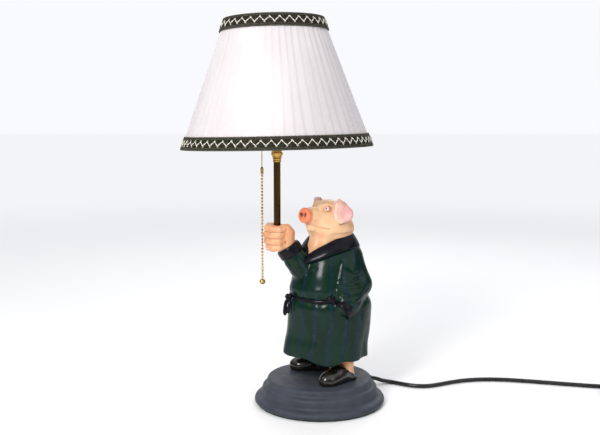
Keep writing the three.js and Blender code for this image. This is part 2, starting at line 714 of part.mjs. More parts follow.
function shadeSpider() {
  const seat = SPIDER_SEAT + GAP;
  const wall = [[4, seat], [9, seat], [9, seat + 1.2], [4, seat + 1.2]];
  const bodies = [solid(ring(wall, 18))];
  const reach = HIGH_RING.radius - RING_WIRE - RING_WIRE - GAP;
  for (let k = 0; k < 3; k += 1) {
    const turn = Math.PI / 2 + (2 * Math.PI * k) / 3;
    const inner = vec(8.4 * Math.cos(turn), 8.4 * Math.sin(turn), seat + 1.2);
    const outer = vec(reach * Math.cos(turn), reach * Math.sin(turn), HIGH_RING.z);
    bodies.push(solid(rod(RING_WIRE, inner, outer, 6)));
  }
  return join(...bodies);
}

put('shade_wires', shadeWires(), frameWire, leaning);
put('shade_spider', shadeSpider(), frameWire, leaning);

// ---------------------------------------------------------------- cord, coil and plug

const TUBE = [
  alongExit(CORD_EXIT.reach + GAP),
  alongExit(CORD_EXIT.reach + 6),
  vec(88.8, 73.6, 8.4),
  vec(95, 76.2, 5.6),
  vec(103, 77.6, 3.8),
  vec(111, 75.4, 3.1),
  vec(119, 70.4, 3.1),
  vec(134.7, 60.6, 3.1),
  vec(148, 56.2, 3.1),
  vec(163, 56.6, 3.1),
  vec(181, 64.4, 3.1),
  vec(198, 73.4, 3.1),
  vec(222, 83.4, 3.1),
  vec(250, 88.4, 3.1),
  vec(282, 87, 3.1),
  vec(314, 80.4, 3.1),
  vec(346, 72, 3.1),
  vec(378, 63.6, 3.1),
  vec(404, 57.2, 3.1),
  vec(427, COIL.y + COIL_TURN, 3.1),
];
put('cord_tube', sweep(TUBE, CORD_RADIUS, 8, 30), cordBlack);

const coilWall = [[COIL.inner, 0.1], [COIL.outer, 0.1], [COIL.outer, 6.2], [36.6, COIL.height]];
coilWall.push([29.4, COIL.height], [COIL.inner, 6.2]);
put('cord_coil', ring(coilWall, 24).translate(COIL.x, COIL.y, 0), cordBlack);

// The tie is a bridge over the coil's section; its feet stand on the floor.
function coilTie() {
  const outline = [[22.4, 0.1], [23.5, 0.1], [23.5, 6.4], [29.2, 17.1], [36.8, 17.1], [42.8, 6.4]];
  outline.push([42.8, 0.1], [43.9, 0.1], [43.9, 6.8], [37.4, 18.2], [28.6, 18.2], [22.4, 6.8]);
  const shape = new THREE.Shape(outline.map(([radius, z]) => new THREE.Vector2(radius, z)));
  const band = new THREE.ExtrudeGeometry(shape, { depth: 3, bevelEnabled: false });
  return band.translate(0, 0, -1.5).rotateX(Math.PI / 2).rotateZ(Math.PI * 0.8);
}

put('coil_tie', coilTie().translate(COIL.x, COIL.y, 0), phenolic);

const TAIL_X = COIL.x + 46.5;
const plugBack = -30;
const TAIL = [
  vec(TAIL_X, 20, 3.1),
  vec(TAIL_X, 8, 3.1),
  vec(TAIL_X + 0.4, -6, 4.4),
  vec(TAIL_X + 0.9, -17, 7),
  vec(TAIL_X + 1, -25, PLUG.thickness / 2),
  vec(TAIL_X + 1, plugBack + GAP, PLUG.thickness / 2),
];
put('cord_tail', sweep(TAIL, CORD_RADIUS, 8, 6), cordBlack);

function plugBody() {
  const sections = [
    { z: 0, x: 0, y: 0, a: 4.4, b: 4.4 },
    { z: 8, x: 0, y: 0, a: 7, b: 6 },
    { z: 14, x: 0, y: 0, a: PLUG.width / 2, b: PLUG.thickness / 2 - 0.2 },
    { z: PLUG.length, x: 0, y: 0, a: PLUG.width / 2, b: PLUG.thickness / 2 - 0.2 },
  ];
  return stack(sections, 16);
}

function alongPlug(geometry) {
  return geometry.rotateX(Math.PI / 2).translate(TAIL_X + 1, plugBack, PLUG.thickness / 2);
}

put('plug_body', alongPlug(geometryOf(plugBody())), phenolic);
[['plug_blade_1', -6.35], ['plug_blade_2', 6.35]].forEach(([name, offset]) => {
  const blade = new THREE.BoxGeometry(1.5, 6.3, PLUG.prong);
  const place = PLUG.length + GAP + PLUG.prong / 2;
  put(name, alongPlug(blade.translate(offset, 0, place)), steel);
});

export default group;
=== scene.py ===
"""A figural table lamp: the looks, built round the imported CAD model.

Every helper and every shape below is in millimetres in the frame of the CAD model. The origin is the centre
of the underside of the base, +X is to the right, -Y is to the front and +Z is up. Objects are made in metres.
"""
import math

import bpy
import numpy as np
from mathutils import Euler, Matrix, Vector


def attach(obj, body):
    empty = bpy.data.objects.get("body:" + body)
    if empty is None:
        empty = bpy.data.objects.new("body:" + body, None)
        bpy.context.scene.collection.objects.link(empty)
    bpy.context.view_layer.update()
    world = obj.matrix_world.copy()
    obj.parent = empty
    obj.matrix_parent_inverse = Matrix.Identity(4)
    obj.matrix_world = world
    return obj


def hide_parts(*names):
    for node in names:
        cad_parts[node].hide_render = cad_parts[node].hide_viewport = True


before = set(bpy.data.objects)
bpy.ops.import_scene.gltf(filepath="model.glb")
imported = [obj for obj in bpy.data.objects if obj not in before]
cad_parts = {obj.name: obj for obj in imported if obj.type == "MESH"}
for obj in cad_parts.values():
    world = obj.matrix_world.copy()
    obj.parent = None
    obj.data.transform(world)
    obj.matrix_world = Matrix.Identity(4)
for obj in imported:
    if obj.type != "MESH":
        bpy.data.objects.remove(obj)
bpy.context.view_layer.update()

MM = 0.001
RNG = np.random.default_rng(7)

# ---------------------------------------------------------------- driving sizes, in millimetres

# The pole's, the chain's and the legs' places on the floor plan.
POLE = np.array([-58.5, -20.0, 0.0])
CHAIN = np.array([-78.6, -27.0])
LEG_NEAR = np.array([37.0, -19.0])
LEG_FAR = np.array([7.0, 31.0])
# Heights, radii and the lean of the shade, in radians.
BASE_TOP = 36.4
SHADE_FOOT = 357.4
SHADE_HEIGHT = 171.1
SHADE_LOW_R = 130.0
SHADE_HIGH_R = 67.0
SHADE_LEAN = -0.022
CHAIN_MOUTH = 366.0
# The mains cord, and the middle, the direction and the reach of the grommet that it leaves through.
CORD_R = 3.0
EXIT_POINT = np.array([61.896, 51.937, 17.6])
EXIT_AXIS = np.array([0.74457, 0.62477, -0.23514])
EXIT_REACH = 22.3


def lean(points):
    """Points of the leaning group (its own axis upright, z from the shade's foot) in the CAD model's frame."""
    points = np.asarray(points, float)
    c, s = math.cos(SHADE_LEAN), math.sin(SHADE_LEAN)
    x = points[..., 0] * c + points[..., 2] * s + POLE[0]
    z = -points[..., 0] * s + points[..., 2] * c + SHADE_FOOT
    return np.stack([x, points[..., 1] + POLE[1], z], -1)


# ---------------------------------------------------------------- mesh helpers


def add_object(name, shape, material, nodes=(), body="lamp", smooth=True, sharp=None):
    """One mesh object from (points, faces) in millimetres; it rides on a body and may replace CAD nodes."""
    points, faces = shape
    mesh = bpy.data.meshes.new(name)
    mesh.from_pydata((np.asarray(points, float) * MM).tolist(), [], [list(map(int, f)) for f in faces])
    mesh.validate()
    if smooth:
        mesh.shade_smooth()
    if sharp is not None:
        mesh.set_sharp_from_angle(angle=math.radians(sharp))
    piece = bpy.data.objects.new(name, mesh)
    bpy.context.scene.collection.objects.link(piece)
    mesh.materials.append(material)
    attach(piece, body)
    if nodes:
        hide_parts(*nodes)
    return piece


def unit(vectors):
    """A vector, or each row of several, at length 1."""
    vectors = np.asarray(vectors, float)
    return vectors / np.linalg.norm(vectors, axis=-1, keepdims=True)


def circle(count):
    """Equal angles once round, without the last one."""
    return np.linspace(0, 2 * np.pi, count, endpoint=False)


def polar(radius, angle, height):
    """Points at a radius, an angle and a height."""
    radius, angle, height = np.broadcast_arrays(radius, angle, height)
    return np.stack([radius * np.cos(angle), radius * np.sin(angle), height], -1)


def flipped(faces):
    return [f[::-1] for f in faces]


def fade(values, edge, steepness):
    """1 well below the edge, 0 well above it."""
    return 1 / (1 + np.exp((values - edge) * steepness))


def bell(values, middle, width):
    return np.exp(-((values - middle) / width) ** 2)


def sheet_faces(rows, columns, wrap_rows=False, wrap_columns=False):
    """Quads of a grid of points stored row by row."""
    faces = []
    for i in range(rows if wrap_rows else rows - 1):
        for j in range(columns if wrap_columns else columns - 1):
            a, b = i * columns + j, i * columns + (j + 1) % columns
            c, d = (i + 1) % rows * columns + (j + 1) % columns, (i + 1) % rows * columns + j
            faces.append((a, b, c, d))
    return faces


def end_faces(count, columns):
    """The first and the last ring of a tube's points, as one face each."""
    return [tuple(range(columns - 1, -1, -1)), tuple(range(count - columns, count))]


def merge(*parts):
    """Joins (vertices, faces) pairs into one pair."""
    points, faces, count = [], [], 0
    for vertices, part_faces in parts:
        points.append(np.asarray(vertices, float))
        faces += [tuple(i + count for i in f) for f in part_faces]
        count += len(vertices)
    return np.concatenate(points), faces


def turned(profile, sides=64, centre=(0, 0, 0), closed=False):
    """A turned body from (radius, height) points; ends on the axis close it, or closed joins the ends."""
    profile = np.asarray(profile, float)
    walls = profile[profile[:, 0] > 1e-6]
    points = polar(walls[:, :1], circle(sides), walls[:, 1:]).reshape(-1, 3)
    faces = sheet_faces(len(walls), sides, wrap_rows=closed, wrap_columns=True)
    for end, row in ((0, 0), (-1, len(walls) - 1)):
        if closed or profile[end, 0] > 1e-6:
            continue
        tip = len(points)
        points = np.concatenate([points, [[0, 0, profile[end, 1]]]])
        for j in range(sides):
            a, b = row * sides + j, row * sides + (j + 1) % sides
            faces.append((b, a, tip) if end == 0 else (a, b, tip))
    return points + np.asarray(centre, float), faces


def rounded(profile, radius=0.6, steps=3):
    """Rounds the corners of a (radius, height) profile."""
    points = np.asarray(profile, float)
    result = [points[0]]
    for before, corner, after in zip(points[:-2], points[1:-1], points[2:]):
        d0, d1 = before - corner, after - corner
        l0, l1 = np.linalg.norm(d0), np.linalg.norm(d1)
        cut = min(radius, 0.45 * l0, 0.45 * l1)
        p, q = corner + d0 / l0 * cut, corner + d1 / l1 * cut
        for t in np.linspace(0, 1, steps + 1):
            result.append((1 - t) ** 2 * p + 2 * t * (1 - t) * corner + t * t * q)
    result.append(points[-1])
    return result


def smooth_path(points, count, tension=0.5):
    """Centripetal Catmull-Rom through the points, resampled to equal steps."""
    p = np.asarray(points, float)
    p = np.concatenate([[2 * p[0] - p[1]], p, [2 * p[-1] - p[-2]]])
    knots = np.concatenate([[0], np.cumsum(np.linalg.norm(np.diff(p, axis=0), axis=1) ** tension)])
    fine = []
    for k in range(1, len(p) - 2):
        t0, t1, t2, t3 = knots[k - 1:k + 3]
        t = np.linspace(t1, t2, 24, endpoint=False)[:, None]
        a1 = (t1 - t) / (t1 - t0) * p[k - 1] + (t - t0) / (t1 - t0) * p[k]
        a2 = (t2 - t) / (t2 - t1) * p[k] + (t - t1) / (t2 - t1) * p[k + 1]
        a3 = (t3 - t) / (t3 - t2) * p[k + 1] + (t - t2) / (t3 - t2) * p[k + 2]
        b1 = (t2 - t) / (t2 - t0) * a1 + (t - t0) / (t2 - t0) * a2
        b2 = (t3 - t) / (t3 - t1) * a2 + (t - t1) / (t3 - t1) * a3
        fine.append((t2 - t) / (t2 - t1) * b1 + (t - t1) / (t2 - t1) * b2)
    fine = np.concatenate(fine + [p[-2:-1]])
    return resample(fine, count)


def resample(points, count):
    step = np.linalg.norm(np.diff(points, axis=0), axis=1)
    along = np.concatenate([[0], np.cumsum(step)])
    wanted = np.linspace(0, along[-1], count)
    return np.stack([np.interp(wanted, along, points[:, k]) for k in range(points.shape[1])], -1)


def frames_along(path, side=(0, 0, 1)):
    """Tangent and two cross directions at each point, carried along without twist."""
    tangent = unit(np.gradient(path, axis=0))
    u = np.asarray(side, float)
    sides = []
    for t in tangent:
        u = u - t * (u @ t)
        if np.linalg.norm(u) < 1e-6:
            u = np.cross(t, (1, 0, 0.3))
        u = unit(u)
        sides.append(u)
    return tangent, np.array(sides), np.cross(tangent, sides)


def axes_across(axis, hint):
    """Two directions across an axis; the first is square to the hint too."""
    u = unit(np.cross(axis, hint))
    return u, np.cross(axis, u)


def placed(points, origin, u, v, axis):
    """Points with their own x, y and z laid along u, v and the axis from an origin."""
    return origin + points[:, :1] * u + points[:, 1:2] * v + points[:, 2:] * axis


def bar(path, radius, sides=12, flat=1.0, side=(0, 0, 1), caps=True):
    """A bar along a path; radius may vary, and flat squeezes it across its side direction."""
    path = np.asarray(path, float)
    radius = np.broadcast_to(np.asarray(radius, float), (len(path),))
    _, u, v = frames_along(path, side)
    angle = circle(sides)
    ring = np.cos(angle)[None, :, None] * u[:, None] + flat * np.sin(angle)[None, :, None] * v[:, None]
    points = (path[:, None] + ring * radius[:, None, None]).reshape(-1, 3)
    faces = sheet_faces(len(path), sides, wrap_columns=True)
    if caps:
        count = len(points)
        points = np.concatenate([points, path[:1], path[-1:]])
        last = (len(path) - 1) * sides
        for j in range(sides):
            k = (j + 1) % sides
            faces += [(k, j, count), (last + j, last + k, count + 1)]
    return points, faces


def ball(centre, radii, sides=24, rings=14, turn=(0, 0, 0)):
    down = np.linspace(0, np.pi, rings + 1)
    profile = np.stack([np.sin(down), -np.cos(down)], -1)
    profile[0, 0] = profile[-1, 0] = 0
    points, faces = turned(profile, sides)
    matrix = np.array(Euler(turn).to_matrix())
    return points * np.asarray(radii, float) @ matrix.T + np.asarray(centre, float), faces


# ---------------------------------------------------------------- sculpting with distance fields


class Field:
    """A block of space sampled at equal steps; shapes are distance fields on it."""

    def __init__(self, low, high, step):
        self.low, self.step = np.asarray(low, float), step
        axes = [np.arange(a, b + step, step) for a, b in zip(low, high)]
        self.x, self.y, self.z = np.meshgrid(*axes, indexing="ij", sparse=True)

    def offset(self, centre):
        return self.x - centre[0], self.y - centre[1], self.z - centre[2]

    def ellipsoid(self, centre, radii, turn=(0, 0, 0)):
        matrix = np.array(Euler(turn).to_matrix())
        px, py, pz = self.offset(centre)
        q = [matrix[0, k] * px + matrix[1, k] * py + matrix[2, k] * pz for k in range(3)]
        near = np.sqrt(sum((q[k] / radii[k]) ** 2 for k in range(3)))
        far = np.sqrt(sum((q[k] / radii[k] ** 2) ** 2 for k in range(3))) + 1e-9
        return near * (near - 1) / far

    def capsule(self, a, b, ra, rb=None):
        rb = ra if rb is None else rb
        a, b = np.asarray(a, float), np.asarray(b, float)
        ab = b - a
        px, py, pz = self.offset(a)
        t = np.clip((px * ab[0] + py * ab[1] + pz * ab[2]) / (ab @ ab), 0, 1)
        gap = np.sqrt((px - t * ab[0]) ** 2 + (py - t * ab[1]) ** 2 + (pz - t * ab[2]) ** 2)
        return gap - (ra + (rb - ra) * t)

    def chain(self, joints, k=2.0):
        """Capsules through (x, y, z, radius) joints."""
        result = None
        for before, after in zip(joints[:-1], joints[1:]):
            one = self.capsule(before[:3], after[:3], before[3], after[3])
            result = one if result is None else union(result, one, k)
        return result

    def disc(self, centre, axis, radius, half, edge=1.0):
        axis = unit(axis)
        px, py, pz = self.offset(centre)
        along = px * axis[0] + py * axis[1] + pz * axis[2]
        across = np.sqrt(np.maximum(px ** 2 + py ** 2 + pz ** 2 - along ** 2, 0))
        dx, dy = across - radius + edge, np.abs(along) - half + edge
        outside = np.sqrt(np.maximum(dx, 0) ** 2 + np.maximum(dy, 0) ** 2)
        return np.minimum(np.maximum(dx, dy), 0) + outside - edge


def union(a, b, k=2.0):
    """Both shapes, joined by a fillet of about k."""
    h = np.clip(0.5 + 0.5 * (b - a) / k, 0, 1)
    return b + (a - b) * h - k * h * (1 - h)


def carve(a, b, k=1.0):
    """The first shape without the second."""
    return -union(-a, b, k)


def crease(field, values, joints, depth=1.6, soft=3.0):
    """A soft furrow along joints that lie on the surface."""
    return carve(values, field.chain([(*p, depth) for p in joints], 1.0), soft)


def relaxed(vertices, quads, rounds=2, amount=0.5):
    """Evens out the sampling steps of a surface."""
    a = quads.reshape(-1)
    b = np.roll(quads, -1, axis=1).reshape(-1)
    count = np.bincount(a, minlength=len(vertices)) + np.bincount(b, minlength=len(vertices))
    for _ in range(rounds):
        mean = np.stack([
            np.bincount(a, vertices[b, k], len(vertices)) + np.bincount(b, vertices[a, k], len(vertices))
            for k in range(3)], -1) / np.maximum(count, 1)[:, None]
        vertices = vertices + amount * (mean - vertices)
    return vertices


def surface(field, values, rounds=2):
    """The surface where a distance field is zero: smoothed surface nets, as (vertices, quads)."""
    inside = values < 0
    shape = [n - 1 for n in values.shape]
    corners = [(i, j, k) for i in (0, 1) for j in (0, 1) for k in (0, 1)]

    def corner(array, c):
        return array[c[0]:c[0] + shape[0], c[1]:c[1] + shape[1], c[2]:c[2] + shape[2]]

    signs = sum(corner(inside, c).astype(np.int8) for c in corners)
    active = (signs > 0) & (signs < 8)
    cells = np.argwhere(active)
    index = np.full(shape, -1, np.int64)
    index[active] = np.arange(len(cells))
    at = [corner(values, c)[active] for c in corners]
    total, count = np.zeros((len(cells), 3)), np.zeros(len(cells))
    for a in range(8):
        for b in range(a + 1, 8):
            if sum(abs(p - q) for p, q in zip(corners[a], corners[b])) != 1:
                continue
            crossing = (at[a] < 0) != (at[b] < 0)
            t = at[a][crossing] / (at[a][crossing] - at[b][crossing])
            pa, pb = np.array(corners[a], float), np.array(corners[b], float)
            total[crossing] += pa + t[:, None] * (pb - pa)
            count[crossing] += 1
    vertices = field.low + (cells + total / count[:, None]) * field.step
    quads = []
    for axis in range(3):
        u, v = (axis + 1) % 3, (axis + 2) % 3
        low = [slice(None)] * 3
        low[axis], low[u], low[v] = slice(0, -1), slice(1, -1), slice(1, -1)
        high = list(low)
        high[axis] = slice(1, None)
        first, second = inside[tuple(low)], inside[tuple(high)]
        where = np.argwhere(first != second)
        outward = first[tuple(where.T)]
        where[:, u] += 1
        where[:, v] += 1
        ring = []
        for du, dv in ((-1, -1), (0, -1), (0, 0), (-1, 0)):
            cell = where.copy()
            cell[:, u] += du
            cell[:, v] += dv
            ring.append(index[tuple(cell.T)])
        ring = np.stack(ring, -1)
        ring[~outward] = ring[~outward][:, ::-1]
        quads.append(ring)
    quads = np.concatenate(quads)
    return relaxed(vertices, quads, rounds), quads


def on_front(field, values, line):
    """Gives each (x, z) of a line the y at which it lies on the front of a solid."""
    result = []
    for x, z in line:
        i, k = int(round((x - field.low[0]) / field.step)), int(round((z - field.low[2]) / field.step))
        j = int(np.argmax(values[i, :, k] < 0))
        result.append((x, field.low[1] + j * field.step - 0.3, z))
    return result


def store(piece, name, values):
    """A value for each vertex, or one for all of them, read by a material."""
    layer = piece.data.attributes.new(name, "FLOAT", "POINT")
    values = np.broadcast_to(np.asarray(values, np.float32), (len(piece.data.vertices),))
    layer.data.foreach_set("value", np.ascontiguousarray(values))


def near(points, centre, radius, soft):
    """1 within a radius of a centre, falling softly to 0."""
    return fade(np.linalg.norm(points - np.asarray(centre), axis=1), radius, 4 / soft)


def spots(points, *places):
    """The sum of strength * near() over (strength, centre, radius, softness) places."""
    return sum(strength * near(points, centre, radius, soft) for strength, centre, radius, soft in places)


def beside(points, line, width):
    """1 on a line through some points, falling to 0 beside it."""
    result = np.zeros(len(points))
    for p in line:
        result = np.maximum(result, bell(np.linalg.norm(points - p, axis=1), 0, width))
    return result


# ---------------------------------------------------------------- material helpers


def new_material(name):
    material = bpy.data.materials.new(name)
    material.use_nodes = True
    return material, Nodes(material.node_tree, material.node_tree.nodes["Principled BSDF"])


class Nodes:
    """Short calls for the node trees below."""

    def __init__(self, tree, shader):
        self.tree, self.shader = tree, shader

    def add(self, kind, **values):
        node = self.tree.nodes.new(kind)
        for key, value in values.items():
            setattr(node, key, value)
        return node

    def link(self, output, target):
        self.tree.links.new(output, target)

    def noise(self, scale, detail=4.0, rough=0.5, stretch=(1, 1, 1)):
        mapping = self.add("ShaderNodeMapping")
        mapping.inputs["Scale"].default_value = stretch
        self.link(self.add("ShaderNodeTexCoord").outputs["Object"], mapping.inputs["Vector"])
        node = self.add("ShaderNodeTexNoise")
        for key, value in (("Scale", scale), ("Detail", detail), ("Roughness", rough)):
            node.inputs[key].default_value = value
        self.link(mapping.outputs["Vector"], node.inputs["Vector"])
        return node.outputs["Fac"]

    def value(self, name):
        return self.add("ShaderNodeAttribute", attribute_name=name).outputs["Fac"]

    def math(self, operation, a, b):
        node = self.add("ShaderNodeMath", operation=operation)
        for socket, item in zip(node.inputs, (a, b)):
            if isinstance(item, (int, float)):
                socket.default_value = item
            else:
                self.link(item, socket)
        return node.outputs[0]

    def range(self, source, low, high, to_low=0.0, to_high=1.0):
        node = self.add("ShaderNodeMapRange", interpolation_type="SMOOTHSTEP")
        self.link(source, node.inputs["Value"])
        for key, value in zip(("From Min", "From Max", "To Min", "To Max"), (low, high, to_low, to_high)):
            node.inputs[key].default_value = value
        return node.outputs["Result"]

    def mix(self, factor, a, b):
        node = self.add("ShaderNodeMix", data_type="RGBA")
        for socket, item in ((node.inputs[0], factor), (node.inputs[6], a), (node.inputs[7], b)):
            if isinstance(item, (int, float)):
                socket.default_value = item
            elif isinstance(item, tuple):
                socket.default_value = (*item, 1)
            else:
                self.link(item, socket)
        return node.outputs[2]

    def color(self, source):
        self.link(source, self.shader.inputs["Base Color"])

    def bump(self, source, strength, distance):
        node = self.add("ShaderNodeBump")
        node.inputs["Strength"].default_value = strength
        node.inputs["Distance"].default_value = distance
        self.link(source, node.inputs["Height"])
        self.link(node.outputs["Normal"], self.shader.inputs["Normal"])

    def finish(self, gloss, bump=None):
        """Uneven gloss from (noise, least, most roughness), and a bump from (noise, strength, distance)."""
        noise, low, high = gloss
        self.link(self.range(self.noise(*noise), 0.3, 0.7, low, high), self.shader.inputs["Roughness"])
        if bump:
            self.bump(self.noise(*bump[0]), *bump[1:])

    def set(self, **values):
        for key, value in values.items():
            self.shader.inputs[key.replace("_", " ")].default_value = value


def srgb(*values):
    """0..255 display values as linear ones."""
    return tuple((v / 255 / 12.92 if v < 11 else ((v / 255 + 0.055) / 1.055) ** 2.4) for v in values)


def painted(name, low, high, tone, gloss, bump=None, span=(0.3, 0.7), **values):
    """A material mottled between two colours, with the gloss and bump of Nodes.finish.

    Tone is a noise: its scale, then its detail, roughness and stretch where they matter. Span is the part of
    the noise that the change of colour takes up, or None for all of it.
    """
    material, n = new_material(name)
    mottle = n.noise(*tone)
    n.color(n.mix(n.range(mottle, *span) if span else mottle, low, high))
    n.finish(gloss, bump)
    n.set(**values)
    return material, n


def varnished(name, low, high, scale, rough, coat, coat_rough, specular=0.2):
    """Brushed paint under a clear varnish."""
    return painted(
        name, low, high, (scale, 6, 0.55), ((220, 3), rough - 0.06, rough + 0.1),
        ((160, 5, 0.6), 0.22, 0.0004),
        Coat_Weight=coat, Coat_Roughness=coat_rough, Coat_IOR=1.45, Specular_IOR_Level=specular)


def metal(name, dark, light, rough, scale=90.0, stretch=(1, 1, 1)):
    material, _ = painted(
        name, dark, light, (scale, 6, 0.65, stretch),
        ((scale * 2.3, 4, 0.6, stretch), rough - 0.1, rough + 0.14),
        ((scale * 4, 3, 0.6, stretch), 0.12, 0.0001), (0.38, 0.68), Metallic=1.0)
    return material


# ---------------------------------------------------------------- camera, light and floor

PALE = (0.97, 0.975, 1.0)
PALE_STRENGTH = 0.93
DIM_ROOM = 0.13
FLOOR_HALF = 30.0


def make_camera():
    """The point of view: 1.16 m in front of the lamp, 39 cm up and looking 6.4 degrees down."""
    data = bpy.data.cameras.new("camera")
    data.sensor_width, data.lens = 36, 50.4
    data.clip_end = 50
    camera = bpy.data.objects.new("camera", data)
    camera.location = (-0.0275, -1.155, 0.3908)
    camera.rotation_euler = (math.pi / 2 - 0.112, 0, 0)
    bpy.context.scene.collection.objects.link(camera)
    bpy.context.scene.camera = camera


def area_light(name, place, target, size, power, color=(1, 1, 1)):
    data = bpy.data.lights.new(name, "AREA")
    data.energy, data.color = power, color
    if isinstance(size, tuple):
        data.shape, data.size, data.size_y = "RECTANGLE", *size
    else:
        data.shape, data.size = "DISK", size
    light = bpy.data.objects.new(name, data)
    light.location = place
    light.rotation_euler = (Vector(target) - Vector(place)).to_track_quat("-Z", "Y").to_euler()
    bpy.context.scene.collection.objects.link(light)


def make_world():
    """The camera sees an even, pale backdrop; reflections see a bright one behind and above a dim room."""
    world = bpy.data.worlds.new("studio")
    world.use_nodes = True
    background = world.node_tree.nodes["Background"]
    n = Nodes(world.node_tree, background)
    apart = n.add("ShaderNodeSeparateXYZ")
    n.link(n.add("ShaderNodeTexCoord").outputs["Generated"], apart.inputs["Vector"])
    behind = n.range(apart.outputs["Y"], 0.6, 0.9, DIM_ROOM, 0.98)
    above = n.range(apart.outputs["Z"], 0.3, 0.8, DIM_ROOM, 1.12)
    seen = n.math("MULTIPLY", n.add("ShaderNodeLightPath").outputs["Is Camera Ray"], PALE_STRENGTH)
    n.link(n.math("MAXIMUM", n.math("MAXIMUM", behind, above), seen), background.inputs["Strength"])
    background.inputs["Color"].default_value = (*PALE, 1)
    bpy.context.scene.world = world


def make_floor():
    """A pale floor; far off, the camera sees it as pale as the backdrop, so that no horizon shows."""
    material, n = new_material("floor_white")
    n.color(n.mix(n.noise(3, 2), (0.86, 0.86, 0.87), (0.9, 0.9, 0.9)))
    n.set(Roughness=0.6, Specular_IOR_Level=0.2)
    distance = n.add("ShaderNodeVectorMath", operation="LENGTH")
    n.link(n.add("ShaderNodeNewGeometry").outputs["Position"], distance.inputs[0])
    far = n.range(distance.outputs["Value"], 0.9, 3.5)
    glow = n.add("ShaderNodeEmission")
    glow.inputs["Color"].default_value = (*PALE, 1)
    glow.inputs["Strength"].default_value = PALE_STRENGTH
    blend = n.add("ShaderNodeMixShader")
    n.link(n.math("MULTIPLY", far, n.add("ShaderNodeLightPath").outputs["Is Camera Ray"]), blend.inputs[0])
    n.link(n.shader.outputs[0], blend.inputs[1])
    n.link(glow.outputs[0], blend.inputs[2])
    n.link(blend.outputs[0], n.tree.nodes["Material Output"].inputs["Surface"])
    corners = [(x * FLOOR_HALF, y * FLOOR_HALF, 0) for x, y in ((-1, -1), (1, -1), (1, 1), (-1, 1))]
    mesh = bpy.data.meshes.new("floor")
    mesh.from_pydata(corners, [], [(0, 1, 2, 3)])
    mesh.materials.append(material)
    floor = bpy.data.objects.new("floor", mesh)
    bpy.context.scene.collection.objects.link(floor)


def make_studio():
    make_world()
    bpy.context.scene.view_settings.view_transform = "Standard"
    area_light("key", (-0.66, -1.3, 1.0), (0, 0, 0.25), (0.34, 0.75), 20, (1, 0.985, 0.96))
    area_light("fill", (1.3, -0.9, 0.9), (0, 0, 0.25), 1.0, 2.5)
    area_light("back", (0.4, 1.3, 1.3), (0, 0, 0.3), 1.2, 6)
    make_floor()


make_camera()

# ---------------------------------------------------------------- cord and plug

COIL = np.array([451.0, 14.0])
TAIL_X = 497.5
PLUG_X = TAIL_X + 1
PLUG_BACK = -30.0
PLUG_AXIS_Z = 8.0
PLUG_SIDES = 40
ROUTE = [
    (88.8, 73.6, 8.4), (95, 76.2, 5.6), (103, 77.6, 3.8), (111, 75.4, 3.1), (119, 70.4, 3.1),
    (134.7, 60.6, 3.1), (148, 56.2, 3.1), (163, 56.6, 3.1), (181, 64.4, 3.1), (198, 73.4, 3.1),
    (222, 83.4, 3.1), (250, 88.4, 3.1), (282, 87, 3.1), (314, 80.4, 3.1), (346, 72, 3.1),
    (378, 63.6, 3.1), (404, 57.2, 3.1), (427, 53, 3.1),
]
TAIL = [
    (TAIL_X, 20, 3.1), (TAIL_X, 8, 3.1), (TAIL_X + 0.4, -6, 4.4), (TAIL_X + 0.9, -17, 7),
    (PLUG_X, -25, PLUG_AXIS_Z), (PLUG_X, PLUG_BACK + 0.3, PLUG_AXIS_Z),
]
# The coil, level by level: its radius and height there, and the share of a turn taken to get there.
WINDING = [
    (39.0, 3.1, 0.0), (39.0, 3.1, 0.9), (32.9, 3.1, 0.15), (32.9, 3.1, 0.85),
    (26.8, 3.1, 0.15), (26.8, 3.1, 0.75), (29.9, 8.4, 0.22), (29.9, 8.4, 0.8),
    (36.0, 8.4, 0.17), (36.0, 8.4, 0.75), (33.0, 13.6, 0.22), (33.0, 13.6, 0.86),
]
# The way off the coil: the share of the last arc, the radius and the height.
LEAVING = [(0.0, 33.0, 13.6), (0.3, 35.0, 13.2), (0.6, 40.5, 10.4), (0.85, 45.0, 6.0)]


def on_coil(angle, radius, height):
    return COIL[0] + radius * math.cos(angle), COIL[1] + radius * math.sin(angle), height


def winding():
    """The coil's turns, clockwise from its far side, as points, and the angle they end at."""
    points, angle = [], math.pi / 2
    for before, after in zip(WINDING[:-1], WINDING[1:]):
        steps = max(3, int(after[2] * 40))
        for k in range(steps):
            t = k / steps
            ease = t * t * (3 - 2 * t)
            radius = before[0] + (after[0] - before[0]) * ease
            height = before[1] + (after[1] - before[1]) * ease
            points.append(on_coil(angle - 2 * math.pi * after[2] * t, radius, height))
        angle -= 2 * math.pi * after[2]
    return points, angle


